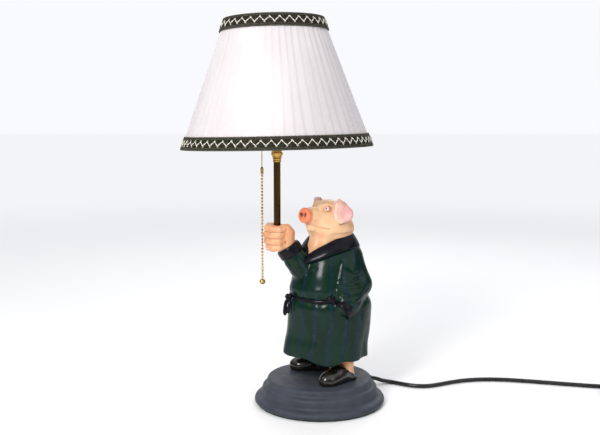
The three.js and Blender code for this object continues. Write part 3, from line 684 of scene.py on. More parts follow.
def make_cord(sheath, moulding, steel):
    start = [tuple(EXIT_POINT + EXIT_AXIS * d) for d in (EXIT_REACH, 28.0)]
    turns, angle = winding()
    # Off the top of the coil, over its side and down to the floor on its right.
    spread = angle + 2 * math.pi * math.ceil(-angle / (2 * math.pi))
    leave = [on_coil(angle - spread * t, radius, height) for t, radius, height in LEAVING]
    path = smooth_path(start + ROUTE + turns + leave + TAIL, 900)
    path[:, 2] = np.maximum(path[:, 2], CORD_R + 0.05)
    curve = bpy.data.curves.new("mains_cord", "CURVE")
    curve.dimensions = "3D"
    curve.bevel_depth = CORD_R * MM
    curve.bevel_resolution = 6
    curve.use_fill_caps = True
    spline = curve.splines.new("POLY")
    spline.points.add(len(path) - 1)
    spline.points.foreach_set("co", np.concatenate([path * MM, np.ones((len(path), 1))], 1).ravel())
    spline.use_smooth = True
    cord = bpy.data.objects.new("mains_cord", curve)
    bpy.context.scene.collection.objects.link(cord)
    curve.materials.append(sheath)
    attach(cord, "lamp")
    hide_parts("cord_tube", "cord_coil", "cord_tail")
    plug = make_plug(moulding)
    tie = make_tie(moulding)
    blades = [make_blade(steel, 1, -6.35), make_blade(steel, 2, 6.35)]


def along_plug(points):
    """Plug points (x across, y up, z from the cord's end towards the blades) in the CAD model's frame."""
    points = np.asarray(points, float)
    return np.stack([points[:, 0] + PLUG_X, PLUG_BACK - points[:, 2], points[:, 1] + PLUG_AXIS_Z], -1)


def make_plug(material):
    """The moulded plug: a ribbed neck that swells into a flat-sided grip."""
    angle = circle(PLUG_SIDES)
    c, s = np.cos(angle), np.sin(angle)
    rows = []
    for z in np.linspace(0, 33, 67):
        t = np.clip((z - 5) / 11, 0, 1)
        ease = t * t * (3 - 2 * t)
        wide = 4.2 + (11.7 - 4.2) * ease
        high = 4.2 + (7.5 - 4.2) * ease
        if z < 9:
            wide += 0.45 * math.cos(z * 2 * math.pi / 2.2)
            high += 0.45 * math.cos(z * 2 * math.pi / 2.2)
        if 18 < z < 29:
            wide -= 0.35 * (1 + math.cos((z - 23.5) * 2 * math.pi / 2.2))
        end = 1.2 * max(0.0, (z - 31) / 2) ** 2
        power = 2 + 2.2 * ease
        squared = (np.abs(c) ** power + np.abs(s) ** power) ** (-1 / power)
        rows.append(np.stack([(wide - end) * c * squared, (high - end) * s * squared, 0 * c + z], -1))
    points = np.concatenate(rows)
    faces = sheet_faces(len(rows), PLUG_SIDES, wrap_columns=True) + end_faces(len(points), PLUG_SIDES)
    shape = along_plug(points), flipped(faces)
    return add_object("plug_moulding", shape, material, ["plug_body"], sharp=40)


def make_blade(material, number, offset):
    """A flat blade with a chamfered end and a round hole, from an outline filled and thickened by a curve."""
    outline = [(-3.1, 0), (3.1, 0), (3.1, 14.2), (1.6, 16), (-1.6, 16), (-3.1, 14.2)]
    hole = [(1.5 * math.cos(a), 11.5 + 1.5 * math.sin(a)) for a in circle(15)]
    flat = bpy.data.curves.new(f"blade_outline_{number}", "CURVE")
    flat.dimensions = "2D"
    for loop in (outline, hole):
        spline = flat.splines.new("POLY")
        spline.points.add(len(loop) - 1)
        for point, (u, v) in zip(spline.points, loop):
            point.co = (u * MM, v * MM, 0, 1)
        spline.use_cyclic_u = True
    flat.fill_mode = "BOTH"
    flat.extrude = 0.7 * MM
    flat.bevel_depth = 0.05 * MM
    holder = bpy.data.objects.new("blade_holder", flat)
    bpy.context.scene.collection.objects.link(holder)
    graph = bpy.context.evaluated_depsgraph_get()
    mesh = bpy.data.meshes.new_from_object(holder.evaluated_get(graph))
    raw = np.array([v.co for v in mesh.vertices]) / MM
    faces = [tuple(p.vertices) for p in mesh.polygons]
    bpy.data.objects.remove(holder)
    points = along_plug(np.stack([raw[:, 2] + offset, raw[:, 0], raw[:, 1] + 33.3], -1))
    return add_object(f"plug_blade_metal_{number}", (points, faces), material, [f"plug_blade_{number}"],
                      smooth=False)


def make_tie(material):
    """A flat strap round the coil's section, with its small lock on top."""
    ring = np.array([(23.2, 1.2), (23.0, 6.4), (28.6, 15.2), (30.2, 17.2), (33, 17.6), (35.8, 17.2),
                     (37.6, 15.2), (43.0, 6.4), (42.8, 1.2), (41, 0.3), (33, 0.25), (25, 0.3)])
    closed = resample(np.concatenate([ring, ring[:1]]), 61)[:-1]
    direction = unit(closed - np.array([33.0, 8.6]))
    rows = []
    for side, out in ((-1.5, 0.0), (-1.5, 0.7), (1.5, 0.7), (1.5, 0.0)):
        edge = closed + direction * out
        edge[:, 1] = np.maximum(edge[:, 1], 0.12)
        rows.append(np.stack([edge[:, 0], np.full(60, side), edge[:, 1]], -1))
    strap = np.concatenate(rows), sheet_faces(4, 60, wrap_rows=True, wrap_columns=True)
    points, faces = merge(strap, ball((33, 0, 18.0), (2.6, 2.2, 1.1), 16, 8))
    turn = -math.pi * 0.8
    c, s = math.cos(turn), math.sin(turn)
    x = points[:, 0] * c + points[:, 1] * s + COIL[0]
    y = -points[:, 0] * s + points[:, 1] * c + COIL[1]
    shape = np.stack([x, y, points[:, 2]], -1), faces
    return add_object("coil_strap", shape, material, ["coil_tie"], smooth=False)


cord_sheath, _ = painted(
    "cord_sheath", srgb(12, 12, 13), srgb(22, 22, 23), (140, 4), ((300, 3), 0.22, 0.36),
    ((900, 2), 0.1, 0.00005), (0.4, 0.7))
black_moulding, _ = painted(
    "plug_black", srgb(16, 16, 17), srgb(28, 28, 29), (200, 4), ((500, 3), 0.4, 0.56),
    ((1800, 2), 0.3, 0.00006), None)
steel_material = metal("blade_steel", srgb(150, 148, 142), srgb(196, 194, 188), 0.3)
make_cord(cord_sheath, black_moulding, steel_material)

# ---------------------------------------------------------------- base and strain relief


def make_base():
    """The turned base: a foot, a wide step, a cove and the top step that the figure stands on."""
    material, _ = painted(
        "slate_paint", srgb(53, 57, 66), srgb(65, 70, 80), (26, 6, 0.6), ((90, 4), 0.46, 0.6),
        ((340, 5, 0.6), 0.18, 0.00025), Coat_Weight=0.04, Coat_Roughness=0.35, Specular_IOR_Level=0.18)
    profile = [
        (0, 30.6),
        (60, 30.6), (60, 1.8), (88.4, 1.8), (89.9, 2.6), (91.3, 4.6), (91.3, 6.6), (90.4, 8.6), (88.2, 10.4),
        (84.8, 11.6), (82.2, 12.6), (81.0, 14.6), (80.8, 19.6), (80.5, 22.2), (79.6, 24.2), (78, 25.7),
        (75.9, 26.6), (74.9, 27.1), (74.2, 28.2), (73.7, 30.2), (73.6, 32.8), (73.0, 34.6), (71.6, 35.8),
        (69.6, 36.4), (44, 36.5), (0, 36.5),
    ]
    shape = turned(rounded(profile, 1.0), 160)
    add_object("base_turned", shape, material, ["base_plinth"], sharp=50)


def make_strain_relief(material):
    """The grommet that the cord leaves through: a flange, a collar and a ribbed, tapering sleeve."""
    profile = [(3.1, -26), (6.6, -26), (6.6, -24.4), (5, -24.2), (5, 2.6), (6.8, 2.6), (6.8, 4.6), (5.6, 5.2)]
    for k in range(7):
        along = 6.2 + 2.2 * k
        wide = 5.4 - (along - 5.4) / 16.6 * 1.5
        profile += [(wide, along), (wide, along + 1.2), (wide - 0.7, along + 1.5), (wide - 0.7, along + 1.9)]
    profile += [(3.9, 21.4), (3.8, 22.0), (3.1, 22.0)]
    points, faces = turned(profile, 40, closed=True)
    points = placed(points, EXIT_POINT, *axes_across(EXIT_AXIS, (0, 0, 1)), EXIT_AXIS)
    shape = points, flipped(faces)
    add_object("strain_relief_ribbed", shape, material, ["strain_relief"], sharp=40)


make_base()
make_strain_relief(black_moulding)

# ---------------------------------------------------------------- the robe

# Height, then the centre and the half sizes of the body there.
SECTIONS = [
    (62.0, 6.6, -2, 59.8, 48.2), (69.5, 6.7, -2, 59.6, 48), (86, 8.2, -2, 58.4, 47.5),
    (104, 11.4, -2, 58.0, 47), (130, 13.5, -3, 58, 48), (146, 13.5, -3, 57, 46.5), (154, 13, -3, 54, 44.5),
    (168, 12.5, -4, 53, 44), (186, 13, -3, 50, 42), (204, 14, -2, 45, 37), (218, 15.5, 0, 38, 31),
    (227, 17, 1, 30, 25), (236, 18, 1, 24, 20),
]
SECTION_TABLE = smooth_path(SECTIONS, 260)
BELT_PINCH = 1.5
STRIPES = 17
STRIPE_FROM = math.radians(-88.9)
NEAR_ARM = [(43, -7, 203, 17), (52.5, -17, 171, 18), (40, -38, 149, 13.8), (33, -43.5, 143, 12.6)]
FAR_ARM = [(-4, -6, 199, 20), (-25, -16.5, 196, 17.6), (-33, -20.5, 206, 15.8), (-37.5, -20.8, 213.2, 14.6)]


def section(z):
    return [np.interp(z, SECTION_TABLE[:, 0], SECTION_TABLE[:, k]) for k in range(1, 5)]


def blouse(z):
    """How far the cloth stands out above and below the belt."""
    return 1.6 * bell(z, 163, 7.0) + 0.8 * bell(z, 141, 8.0)


def body_distance(x, y, z):
    """Distance to the robe's body, and the angle round it."""
    cx, cy, a, b = section(z)
    px, py = x - cx, y - cy
    angle = np.arctan2(py / b, px / a)
    drape = np.clip((152 - z) / 82, 0, 1) ** 1.4
    fold = drape * (1.1 * np.cos(7 * angle + 0.6) + 0.6 * np.cos(12 * angle + 2.1))
    pinch = BELT_PINCH * bell(z, belt_height(angle), 3.2)
    gather = bell(z, belt_height(angle), 9.0) * 0.45 * np.cos(23 * angle)
    swell = fold + blouse(z) - pinch + gather
    a, b = a + swell, b + swell
    level = np.sqrt((px / a) ** 2 + (py / b) ** 2)
    steep = np.sqrt((px / a ** 2) ** 2 + (py / b ** 2) ** 2) + 1e-6
    return level * (level - 1) / steep, angle


def belt_height(angle):
    degrees = [-180, -150, -105, -88, -75, -40, 0, 90, 180]
    heights = [154.5, 153.8, 151.2, 152.6, 155.5, 157, 156.5, 155, 154.5]
    return np.interp(np.degrees(angle), degrees, heights)


def hem_height(x, angle):
    """The hem, a little wavy, with a dip at the front."""
    past = np.degrees(angle) + 79
    dip = 7 * bell(past, 0, np.where(past < 0, 26, 9))
    return 69.3 - 0.055 * (x - 8) + 1.0 * np.cos(7 * angle + 2.2) + 0.5 * np.cos(3 * angle + 1.0) - dip


def arm_distance(points, joints):
    """Distance to an arm and the angle round it."""
    best, turn = np.full(len(points), 1e9), np.zeros(len(points))
    for before, after in zip(joints[:-1], joints[1:]):
        a, b = np.array(before[:3], float), np.array(after[:3], float)
        t = np.clip(((points - a) @ (b - a)) / ((b - a) @ (b - a)), 0, 1)
        off = points - a - t[:, None] * (b - a)
        gap = np.linalg.norm(off, axis=1) - (before[3] + (after[3] - before[3]) * t)
        u, v = axes_across(unit(b - a), (0.2, 1.0, 0.1))
        closer = gap < best
        best = np.where(closer, gap, best)
        turn = np.where(closer, np.arctan2(off @ v, off @ u), turn)
    return best, turn


def robe_material():
    """Glossy green with soft blue stripes, and a thin line beside each, from the vertex values."""
    material, n = new_material("robe_paint")
    patchy = n.range(n.noise(70, 5, 0.7, (1, 1, 0.35)), 0.30, 0.55, 0.45, 1.0)
    broken = n.range(n.noise(90, 5, 0.7, (1, 1, 0.3)), 0.45, 0.62, 0.0, 0.55)
    mask = n.math("MULTIPLY", n.value("stripe"), patchy)
    thin = n.math("MULTIPLY", n.value("second"), broken)
    green = n.mix(n.range(n.noise(48, 6, 0.6, (1, 1, 0.5)), 0.3, 0.7), srgb(7, 32, 21), srgb(14, 44, 30))
    blue = n.mix(n.range(n.noise(110, 5, 0.65), 0.35, 0.7), srgb(13, 32, 44), srgb(24, 46, 66))
    n.color(n.mix(thin, n.mix(mask, green, blue), srgb(26, 40, 60)))
    n.finish(((150, 4), 0.26, 0.42), ((190, 5, 0.62, (1, 1, 0.5)), 0.3, 0.0005))
    n.set(Coat_Weight=0.34, Coat_Roughness=0.15, Coat_IOR=1.45, Specular_IOR_Level=0.05)
    return material


def robe_solid(field):
    """The robe with its two sleeves, hollow at the hem and open at the neck."""
    body, angle = body_distance(field.x, field.y, field.z)
    near_arm = union(field.capsule(NEAR_ARM[0][:3], NEAR_ARM[1][:3], 17, 18.4),
                     field.chain(NEAR_ARM[1:], 4), 5)
    # The sleeve's loose cloth, on the inside of the bent arm.
    loose = field.chain([(39, -17, 200, 14.5), (36, -32, 176, 14), (31, -40, 153, 11.5)], 4)
    near_arm = union(near_arm, loose, 7)
    far_arm = field.chain(FAR_ARM, 4)
    shoulder = field.ellipsoid((38, -5, 211), (19.5, 22, 15.5))
    solid = union(body, shoulder, 8)
    solid = carve(solid, 229.5 - field.z, 5)
    solid = union(solid, near_arm, 3.2)
    solid = union(solid, far_arm, 3.0)
    # Furrows at the inside of each elbow and under the near arm.
    for line, depth, soft in (
            ([(27, 203), (23, 186), (19, 168), (16, 158)], 1.3, 3.5),
            ([(27, 181), (38, 177), (49, 179)], 0.8, 3),
            ([(24, 172), (36, 168), (52, 169)], 0.9, 3),
            ([(26, 163), (38, 158), (52, 160)], 0.7, 3),
            ([(33, 194), (44, 188), (54, 189)], 0.5, 4),
            ([(30, 151), (42, 147), (56, 153), (66, 160)], 0.8, 2.5)):
        solid = crease(field, solid, on_front(field, solid, line), depth, soft)
    solid = crease(field, solid, [(-18, -36, 188), (-27, -36, 199), (-29, -37, 208)], 1.6)
    solid = crease(field, solid, [(-30, -33, 184), (-39, -33, 197), (-44, -31, 204)], 1.3)
    solid = crease(field, solid, [(-8, -40, 196), (-20, -38, 196)], 1.2, 4)
    solid = carve(solid, field.z - hem_height(field.x, angle), 2.4)
    hollow = np.maximum(body + 3.4, field.z - 82)
    solid = carve(solid, hollow, 1.6)
    opening = field.capsule((0, -10, 234), (-14, -22, 217), 13, 6)
    neck = union(field.capsule((14, 0, 250), (14, 0, 214), 25), opening, 4)
    solid = carve(solid, neck, 1.5)
    # Room for each wrist inside its cuff.
    return carve(solid, field.capsule((-44, -21, 223), (-36.5, -20.7, 212), 11.5), 1)


def make_robe():
    field = Field((-62, -62, 52), (82, 56, 240), 1.25)
    points, quads = surface(field, robe_solid(field), 3)
    x, y, z = points.T
    body, angle = body_distance(x, y, z)
    near_gap, near_turn = arm_distance(points, NEAR_ARM[:3])
    far_gap, far_turn = arm_distance(points, FAR_ARM)
    place = (angle - STRIPE_FROM) * STRIPES / (2 * np.pi)
    place = np.where(near_gap < body - 1, near_turn * 6 / (2 * np.pi) + 0.28, place)
    on_far = (far_gap < body - 1) & (far_gap < near_gap)
    place = np.where(on_far, far_turn * 5 / (2 * np.pi) + 0.35, place)
    place = place + 0.05 * np.sin(z * 0.11 + 3 * np.sin(angle * 3))
    stripe = fade(np.abs((place + 0.5) % 1 - 0.5), 0.10, 44) * np.where(on_far, 0.35, 1.0)
    nodes = ["robe", "raised_sleeve", "pocket_sleeve"]
    robe = add_object("robe_sculpted", (points, quads), robe_material(), nodes)
    store(robe, "stripe", stripe)
    store(robe, "second", fade(np.abs((place + 0.26) % 1 - 0.5), 0.03, 70))


def body_point(angle, z, out=0.0):
    """A point on the robe's body at an angle round it."""
    cx, cy, a, b = section(z)
    swell = blouse(z) - BELT_PINCH + out
    return np.stack([cx + (a + swell) * np.cos(angle), cy + (b + swell) * np.sin(angle), z + 0 * angle], -1)


def make_belt(material):
    angle = np.linspace(-math.pi, math.pi, 181)[:-1]
    ring = body_point(angle, belt_height(angle), 0.7)
    axis = np.array([0, 0, 1.0])
    outward = unit(np.cross(np.roll(ring, -1, axis=0) - np.roll(ring, 1, axis=0), axis))
    turn = circle(14)
    wave = 0.25 * np.sin(angle * 31) + 0.2 * np.sin(angle * 17 + 1)
    high = (2.7 + wave)[:, None, None] * np.sin(turn)[None, :, None] * axis
    deep = 2.0 * np.cos(turn)[None, :, None] * outward[:, None]
    points = (ring[:, None] + high + deep).reshape(-1, 3)
    band = points, flipped(sheet_faces(len(ring), 14, wrap_rows=True, wrap_columns=True))
    loop = ball((13.5, -48.6, 155.6), (4.6, 2.6, 4.4), 32, 20, (0, 0.5, 0.15))
    fold = ball((17.0, -48.8, 152.6), (3.4, 2.4, 4.6), 32, 20, (0, -0.6, 0.2))
    add_object("belt_band", merge(band, loop, fold), material, ["belt"])
    knot = [
        ball((-41.8, -21.4, 153.6), (3.6, 4.0, 4.9), 28, 18, (0, 0.2, 0.5)),
        bar(smooth_path([(-39.5, -26, 155), (-44.5, -23, 156.5), (-46.8, -18.5, 153)], 24), 2.2, 14, 0.8),
        bar(smooth_path([(-46.4, -19, 155), (-44.8, -23, 151.5), (-41, -25.6, 150.6)], 24), 2.0, 14, 0.8),
    ]
    add_object("belt_knot_tied", merge(*knot), material, ["belt_knot"])
    first = [(-43.6, -21, 151.5), (-46.6, -20.3, 146), (-47.9, -19.4, 138), (-48.2, -18.9, 130),
             (-47.8, -19.3, 127.4)]
    second = [(-41.4, -24.2, 150.5), (-42.0, -27.2, 145), (-43.0, -27.6, 138), (-44.4, -26.6, 132)]
    grow = np.interp(np.linspace(0, 1, 40), [0, 0.1, 0.85, 1], [1.5, 2.4, 2.9, 1.7])
    tails = merge(bar(smooth_path(first, 40), grow, 16, 0.55, (1, 0, 0)),
                  bar(smooth_path(second, 40), grow * 0.85, 16, 0.55, (1, 0, 0)))
    add_object("belt_tails_hanging", tails, material, ["belt_tails"])


COLLAR_STEPS = 220
COLLAR_SIDES = 36
# The inner and the outer edge of the collar, side by side, from one end to the other.
COLLAR = [
    (-23.5, -26.5, 207, -27.5, -27, 199.5), (-16.5, -28, 213.2, -17.5, -35, 202.5),
    (-5, -29, 221, 1.5, -38.5, 208.5), (19, -26, 233, 20, -36.5, 215.5), (36, -16, 238.5, 42, -25.5, 220.5),
    (43, -3, 240.2, 54, -5, 219.6), (41, 12, 241, 50, 17, 219), (28, 24, 241.5, 33, 35, 219.5),
    (9, 26, 240, 7, 38, 217.5), (-7, 18, 237.5, -16, 28, 215), (-14, 5, 234.5, -26.5, 9, 212.5),
    (-14.5, -9, 231, -27.5, -9, 211.5), (-15, -19, 222.5, -26, -20, 207.5),
    (-17.5, -25.5, 213.5, -26.5, -26.5, 201),
]


def make_collar(material):
    path = smooth_path(COLLAR, COLLAR_STEPS)
    inner, outer = path[:, :3], path[:, 3:]
    middle = (inner + outer) / 2
    across = outer - inner
    normal = unit(np.cross(np.gradient(middle, axis=0), across))
    away = middle - np.array([14.0, -1.0, 212.0])
    normal *= np.sign((normal * away).sum(1))[:, None]
    turn = circle(COLLAR_SIDES)
    share = (1 - np.cos(turn)) / 2
    lift = np.sign(np.sin(turn)) * np.abs(np.sin(turn)) ** 0.62
    # A full roll near the outer edge, and a soft hollow along the middle.
    full = np.where(lift > 0, 2.5 + 0.9 * share, 1.8)
    step = np.arange(COLLAR_STEPS)
    ends = np.clip(np.minimum(step, step[::-1]) / 8, 0, 1)
    ends = np.sqrt(1 - (1 - ends) ** 2) * 0.97 + 0.03
    wave = 1 + 0.05 * np.sin(np.linspace(0, 46, COLLAR_STEPS))
    share = 0.5 + (share - 0.5)[None, :] * (0.55 + 0.45 * ends[:, None])
    rise = (lift * full)[None, :] * ends[:, None] * wave[:, None]
    points = inner[:, None] + across[:, None] * share[..., None] + normal[:, None] * rise[..., None]
    points = points.reshape(-1, 3)
    faces = sheet_faces(COLLAR_STEPS, COLLAR_SIDES, wrap_columns=True) + end_faces(len(points), COLLAR_SIDES)
    # The faces' side follows from the order of the two edges, and one face near the back tells it.
    row = 50
    a, b, c = points[list(faces[row * COLLAR_SIDES][:3])]
    if np.cross(b - a, c - b) @ (a - middle[row]) < 0:
        faces = flipped(faces)
    add_object("collar_shawl", (points, faces), material, ["collar"])


def make_cuff(material, node, start, end, profile, edge):
    """A rolled ring whose axis runs from start to end; the profile's heights run along it."""
    # Two points more than once round, so that every corner is rounded.
    profile = rounded(profile + profile[:2], edge, 4)[3:-1]
    points, faces = turned(profile, 72, closed=True)
    angle = np.arctan2(points[:, 1], points[:, 0])
    points[:, :2] *= (1 + 0.008 * np.sin(angle * 5 + 0.4) + 0.0048 * np.sin(angle * 9))[:, None]
    axis = unit(np.subtract(end, start))
    points = placed(points, np.array(start), *axes_across(axis, (0, 1, 0.2)), axis)
    add_object(node + "_rolled", (points, faces), material, [node])


def make_cuffs(material):
    far = [(11.8, 10.5), (12.2, 1.0), (15.4, -1.6), (17.0, 0.4), (17.3, 8.8), (16.2, 12.8), (13.4, 13.4)]
    close = [(9.8, 8.5), (10.2, 0.6), (13.0, -2.2), (14.9, -0.6), (15.2, 6.0), (14.3, 9.4), (11.6, 10.0)]
    make_cuff(material, "raised_cuff", (-37.5, -20.8, 213.2), (-44.6, -21, 224), far, 1.6)
    make_cuff(material, "pocket_cuff", (33.5, -42.4, 143.2), (25, -48.4, 136.8), close, 1.4)


# ---------------------------------------------------------------- skin: head, ears, eyes, hand and legs


def skin_material(name, light, shade, blush, deep):
    """Flesh paint; the vertex values blush, deep, dark, snout and hole tint it. Deep is painted shade, with a
    darker line along the mouth, and dark is a painted shadow.
    """
    material, n = new_material(name)
    base = n.mix(n.range(n.noise(55, 6, 0.6), 0.32, 0.7), shade, light)
    patchy = n.range(n.noise(90, 5, 0.6), 0.3, 0.6, 0.6, 1.0)
    base = n.mix(n.math("MULTIPLY", n.value("blush"), patchy), base, blush)
    # Painted shade from the value deep, then a painted shadow from the value dark.
    base = n.mix(n.value("deep"), base, deep)
    base = n.mix(n.value("dark"), base, srgb(96, 44, 16))
    base = n.mix(n.value("snout"), base, n.mix(n.noise(120, 5), srgb(226, 120, 84), srgb(244, 150, 108)))
    base = n.mix(n.value("hole"), base, srgb(120, 42, 34))
    n.color(base)
    n.finish(((160, 4), 0.34, 0.5), ((230, 5, 0.6), 0.2, 0.0003))
    n.set(Coat_Weight=0.25, Coat_Roughness=0.28, Subsurface_Weight=0.12, Subsurface_Scale=0.003,
          Specular_IOR_Level=0.3)
    return material


EYE_NEAR = np.array([9.5, -30.2, 276.5])
EYE_FAR = np.array([-6.3, -11.0, 276.0])
SNOUT = np.array([-20.2, -37.2, 267.8])
SNOUT_AXIS = np.array([-0.70, -0.70, 0.12])
MOUTH = [(-19.5, 256.5), (-14, 255.2), (-6, 253), (2, 250.6), (8, 249.1), (12, 249.2)]


def make_head(material):
    field = Field((-34, -50, 196), (54, 36, 294), 0.84)
    jowl = field.ellipsoid((14.5, -2, 247), (33, 30.5, 20))
    cranium = field.ellipsoid((13.5, -1, 263), (25.5, 27, 22.8))
    brow = field.ellipsoid((9.5, -6, 272), (18, 20, 12.4))
    values = union(union(jowl, cranium, 12), brow, 6)
    muzzle = field.capsule((6, -12, 262), (-12, -29.5, 266.8), 18.5, 11.6)
    values = union(values, muzzle, 9)
    cheek = field.ellipsoid((14, -27, 256), (15, 8, 10))
    values = union(values, cheek, 7)
    chin = field.capsule((2, -14, 250), (-10, -26, 254), 16, 10)
    values = union(values, chin, 6)
    ridge = union(field.chain([(0, -29, 280, 3.0), (9, -31, 281.6, 3.4), (17, -29, 280, 3.0)], 2),
                  field.chain([(-7, -16, 279.5, 3.0), (-5, -9, 281.5, 3.4), (-3, -1, 280, 3.0)], 2), 1)
    values = union(values, ridge, 5)
    throat = field.ellipsoid((-3, -14, 218), (15, 15, 22))
    neck = union(field.capsule((14, 0, 242), (10, -3, 206), 24, 24), throat, 8)
    values = union(values, neck, 7)
    # The fold where the chin meets the neck, and the one behind the jaw.
    fold = [(-17, -22, 239), (-6, -32, 239.5), (10, -34, 238.5), (30, -28, 240), (44, -12, 243)]
    values = crease(field, values, fold, 0.6, 5)
    mouth_line = on_front(field, values, MOUTH)
    values = crease(field, values, mouth_line, 0.8, 1.1)
    values = crease(field, values, [(-14, -34, 270.5), (-7, -31, 272.5), (-2, -31, 272)], 0.9, 2.4)
    disc = field.disc(SNOUT, SNOUT_AXIS, 10.5, 4.6, 2.8)
    rod = field.capsule((-8, -25.5, 266), (-18, -35, 267.4), 10.2, 9.4)
    values = union(union(values, rod, 3), disc, 1.6)
    dish = field.ellipsoid(SNOUT + SNOUT_AXIS * 12.9, (9, 9, 7.5), (0, 0, math.pi / 4))
    values = carve(values, dish, 2.0)
    side = unit(np.cross(SNOUT_AXIS, (0, 0, 1)))
    holes = []
    for sign in (-1, 1):
        place = SNOUT + SNOUT_AXIS * 3.6 + side * 3.6 * sign + np.array([0, 0, 0.8])
        holes.append(place)
        low, high = place - np.array([0, 0, 1.5]), place + np.array([0, 0, 1.5]) - side * 0.8 * sign
        values = carve(values, field.capsule(low, high, 2.0, 1.7), 0.8)
    for eye, radius in ((EYE_NEAR, 4.2), (EYE_FAR, 4.0)):
        values = carve(values, field.ellipsoid(eye, (radius, radius, radius)), 1.4)
    # The furrow under the near ear; a painted shadow darkens it.
    furrow = on_front(field, values, [(27, 255.5), (31, 257), (36, 259.5), (41, 262.5)])
    values = crease(field, values, furrow, 0.9, 1.2)
    near_root = field.ellipsoid((29, -22, 272), (11, 9, 13))
    far_root = field.ellipsoid((-2, 14, 276), (7, 9, 11))
    values = union(values, union(near_root, far_root, 2), 5)
    points, quads = surface(field, values)
    head = add_object("head_sculpted", (points, quads), material, ["head"])
    along = (points - SNOUT) @ SNOUT_AXIS
    off_axis = np.linalg.norm(points - SNOUT - along[:, None] * SNOUT_AXIS, axis=1)
    store(head, "snout", fade(-along, 3.6, 1.3) * fade(off_axis, 13.5, 1.2))
    store(head, "hole", np.maximum(near(points, holes[0], 2.9, 1.6), near(points, holes[1], 2.9, 1.6)))
    blush = spots(
        points, (0.38, (10, -36, 259), 6, 9), (0.55, (-8, -33, 258), 6, 6), (0.4, (-14, -27, 276), 4, 6),
        (0.6, (0, -33, 238), 6, 7), (0.55, (24, -30, 283), 6, 6), (0.55, (-4, 8, 286), 8, 6))
    store(head, "blush", np.clip(blush, 0, 1))
    # Painted shade along the neck's fold, below the chin and behind the jaw, and a darker line along the
    # mouth.
    deep = 0.12 * bell(points[:, 2] - 0.05 * points[:, 0], 238.5, 2.6)
    deep += spots(points, (0.5, (-7, -27, 226), 10, 8), (0.4, (41, -14, 246), 12, 14))
    deep += 0.7 * beside(points, smooth_path(mouth_line, 80), 1.2)
    store(head, "deep", np.clip(deep, 0, 1))
    # A painted shadow along the furrow under the near ear.
    store(head, "dark", beside(points, smooth_path(furrow, 40), 1.7))


def make_ears():
    material, n = new_material("ear_paint")
    rose = n.mix(n.range(n.noise(80, 5, 0.6), 0.3, 0.7), srgb(216, 152, 150), srgb(232, 176, 170))
    pale = n.mix(n.value("rim"), rose, srgb(246, 206, 180))
    # The value shade mixes in a painted shade.
    n.color(n.mix(n.value("shade"), pale, srgb(186, 132, 122)))
    n.finish(((160, 4), 0.36, 0.5), ((230, 5, 0.6), 0.2, 0.0003))
    n.set(Coat_Weight=0.5, Coat_Roughness=0.22, Subsurface_Weight=0.12, Subsurface_Scale=0.003)
    field = Field((10, -44, 250), (54, -8, 294), 0.62)
    ridge = field.chain([
        (25.5, -26.5, 286.8, 2.7), (22.4, -31, 281, 3.2), (21.6, -33, 271, 3.0), (22.6, -32, 262, 2.9),
        (26.5, -29.5, 257.5, 2.6)], 2)
    flap = union(field.ellipsoid((28, -30.5, 270), (14.5, 3.4, 13.4), (0, 0.30, -0.16)),
                 field.ellipsoid((27.5, -29, 279.5), (7.5, 3.0, 7.6), (0, 0.5, -0.1)), 4)
    tip = field.ellipsoid((36.5, -31, 268.5), (7.4, 3.0, 8.4), (0, 0.2, -0.16))
    values = union(union(flap, tip, 4), ridge, 3)
    hollow = field.ellipsoid((31.5, -37.2, 271), (10.5, 5.4, 10.5), (0, 0.22, -0.16))
    values = carve(values, hollow, 3.5)
    points, quads = surface(field, values)
    ear = add_object("ear_near_flap", (points, quads), material, ["ear_near"])
    rim = [(26.5, -28, 286), (22.8, -33, 280), (21.6, -35, 271), (22.6, -34, 262), (26.5, -31, 257.5)]
    pale = beside(points, smooth_path(rim, 40), 5.6)
    store(ear, "rim", pale)
    # Painted shade in the upper hollow of the near ear, away from its pale rim.
    store(ear, "shade", 0.75 * near(points, (31, -31, 284), 4.5, 5) * (1 - pale))
    field = Field((-24, -12, 262), (10, 32, 298), 0.62)
    flap = field.ellipsoid((-2.6, 5, 279), (6.6, 12.5, 10.6), (0, -0.25, 0.15))
    ridge = field.chain([(0, 1, 286, 3.0), (-5, -3.5, 282.5, 3.2), (-8, -4.5, 275, 2.8)], 2)
    values = carve(union(flap, ridge, 3), field.ellipsoid((-11.6, 7, 278.5), (5.5, 8.5, 7.5)), 3)
    points, quads = surface(field, values)
    ear = add_object("ear_far_flap", (points, quads), material, ["ear_far"])
    store(ear, "rim", 0.6 * near(points, (-6, 1, 284), 6, 4))
    store(ear, "shade", 0)


def make_eyes(lid_paint):
    """Each eye is a ball with a painted pupil and a rolled lid round it."""
    material, n = new_material("eye_paint")
    white = n.mix(n.value("iris"), srgb(246, 240, 232), srgb(150, 120, 130))
    n.color(n.mix(n.value("pupil"), white, srgb(40, 24, 24)))
    n.finish(((200, 3), 0.1, 0.2))
    n.set(Coat_Weight=1.0, Coat_Roughness=0.04)
    radius = 3.5
    for side, eye, facing in (
            ("near", EYE_NEAR, (-0.38, -0.92, 0.10)), ("far", EYE_FAR, (-0.90, -0.42, 0.10))):
        facing = unit(facing)
        centre = eye + facing * 0.6
        points, faces = ball(centre, (radius, radius, radius), 48, 30)
        u = unit(np.cross(facing, (0, 0, 1)))
        v = np.cross(u, facing)
        turn = circle(48)
        rim = eye + facing * 2.55 + 3.2 * (np.cos(turn)[:, None] * u + 0.84 * np.sin(turn)[:, None] * v)
        eyeball = add_object(f"eyeball_{side}", (points, faces), material, [f"eye_{side}"])
        off = np.arccos(np.clip((points - centre) @ facing / radius, -1, 1))
        store(eyeball, "pupil", fade(off, 0.26, 40))
        store(eyeball, "iris", fade(off, 0.44, 30))
        lid = bar(np.concatenate([rim, rim[:1]]), 0.85, 12, caps=False)
        add_object(f"eyeball_{side}_lid", lid, lid_paint)


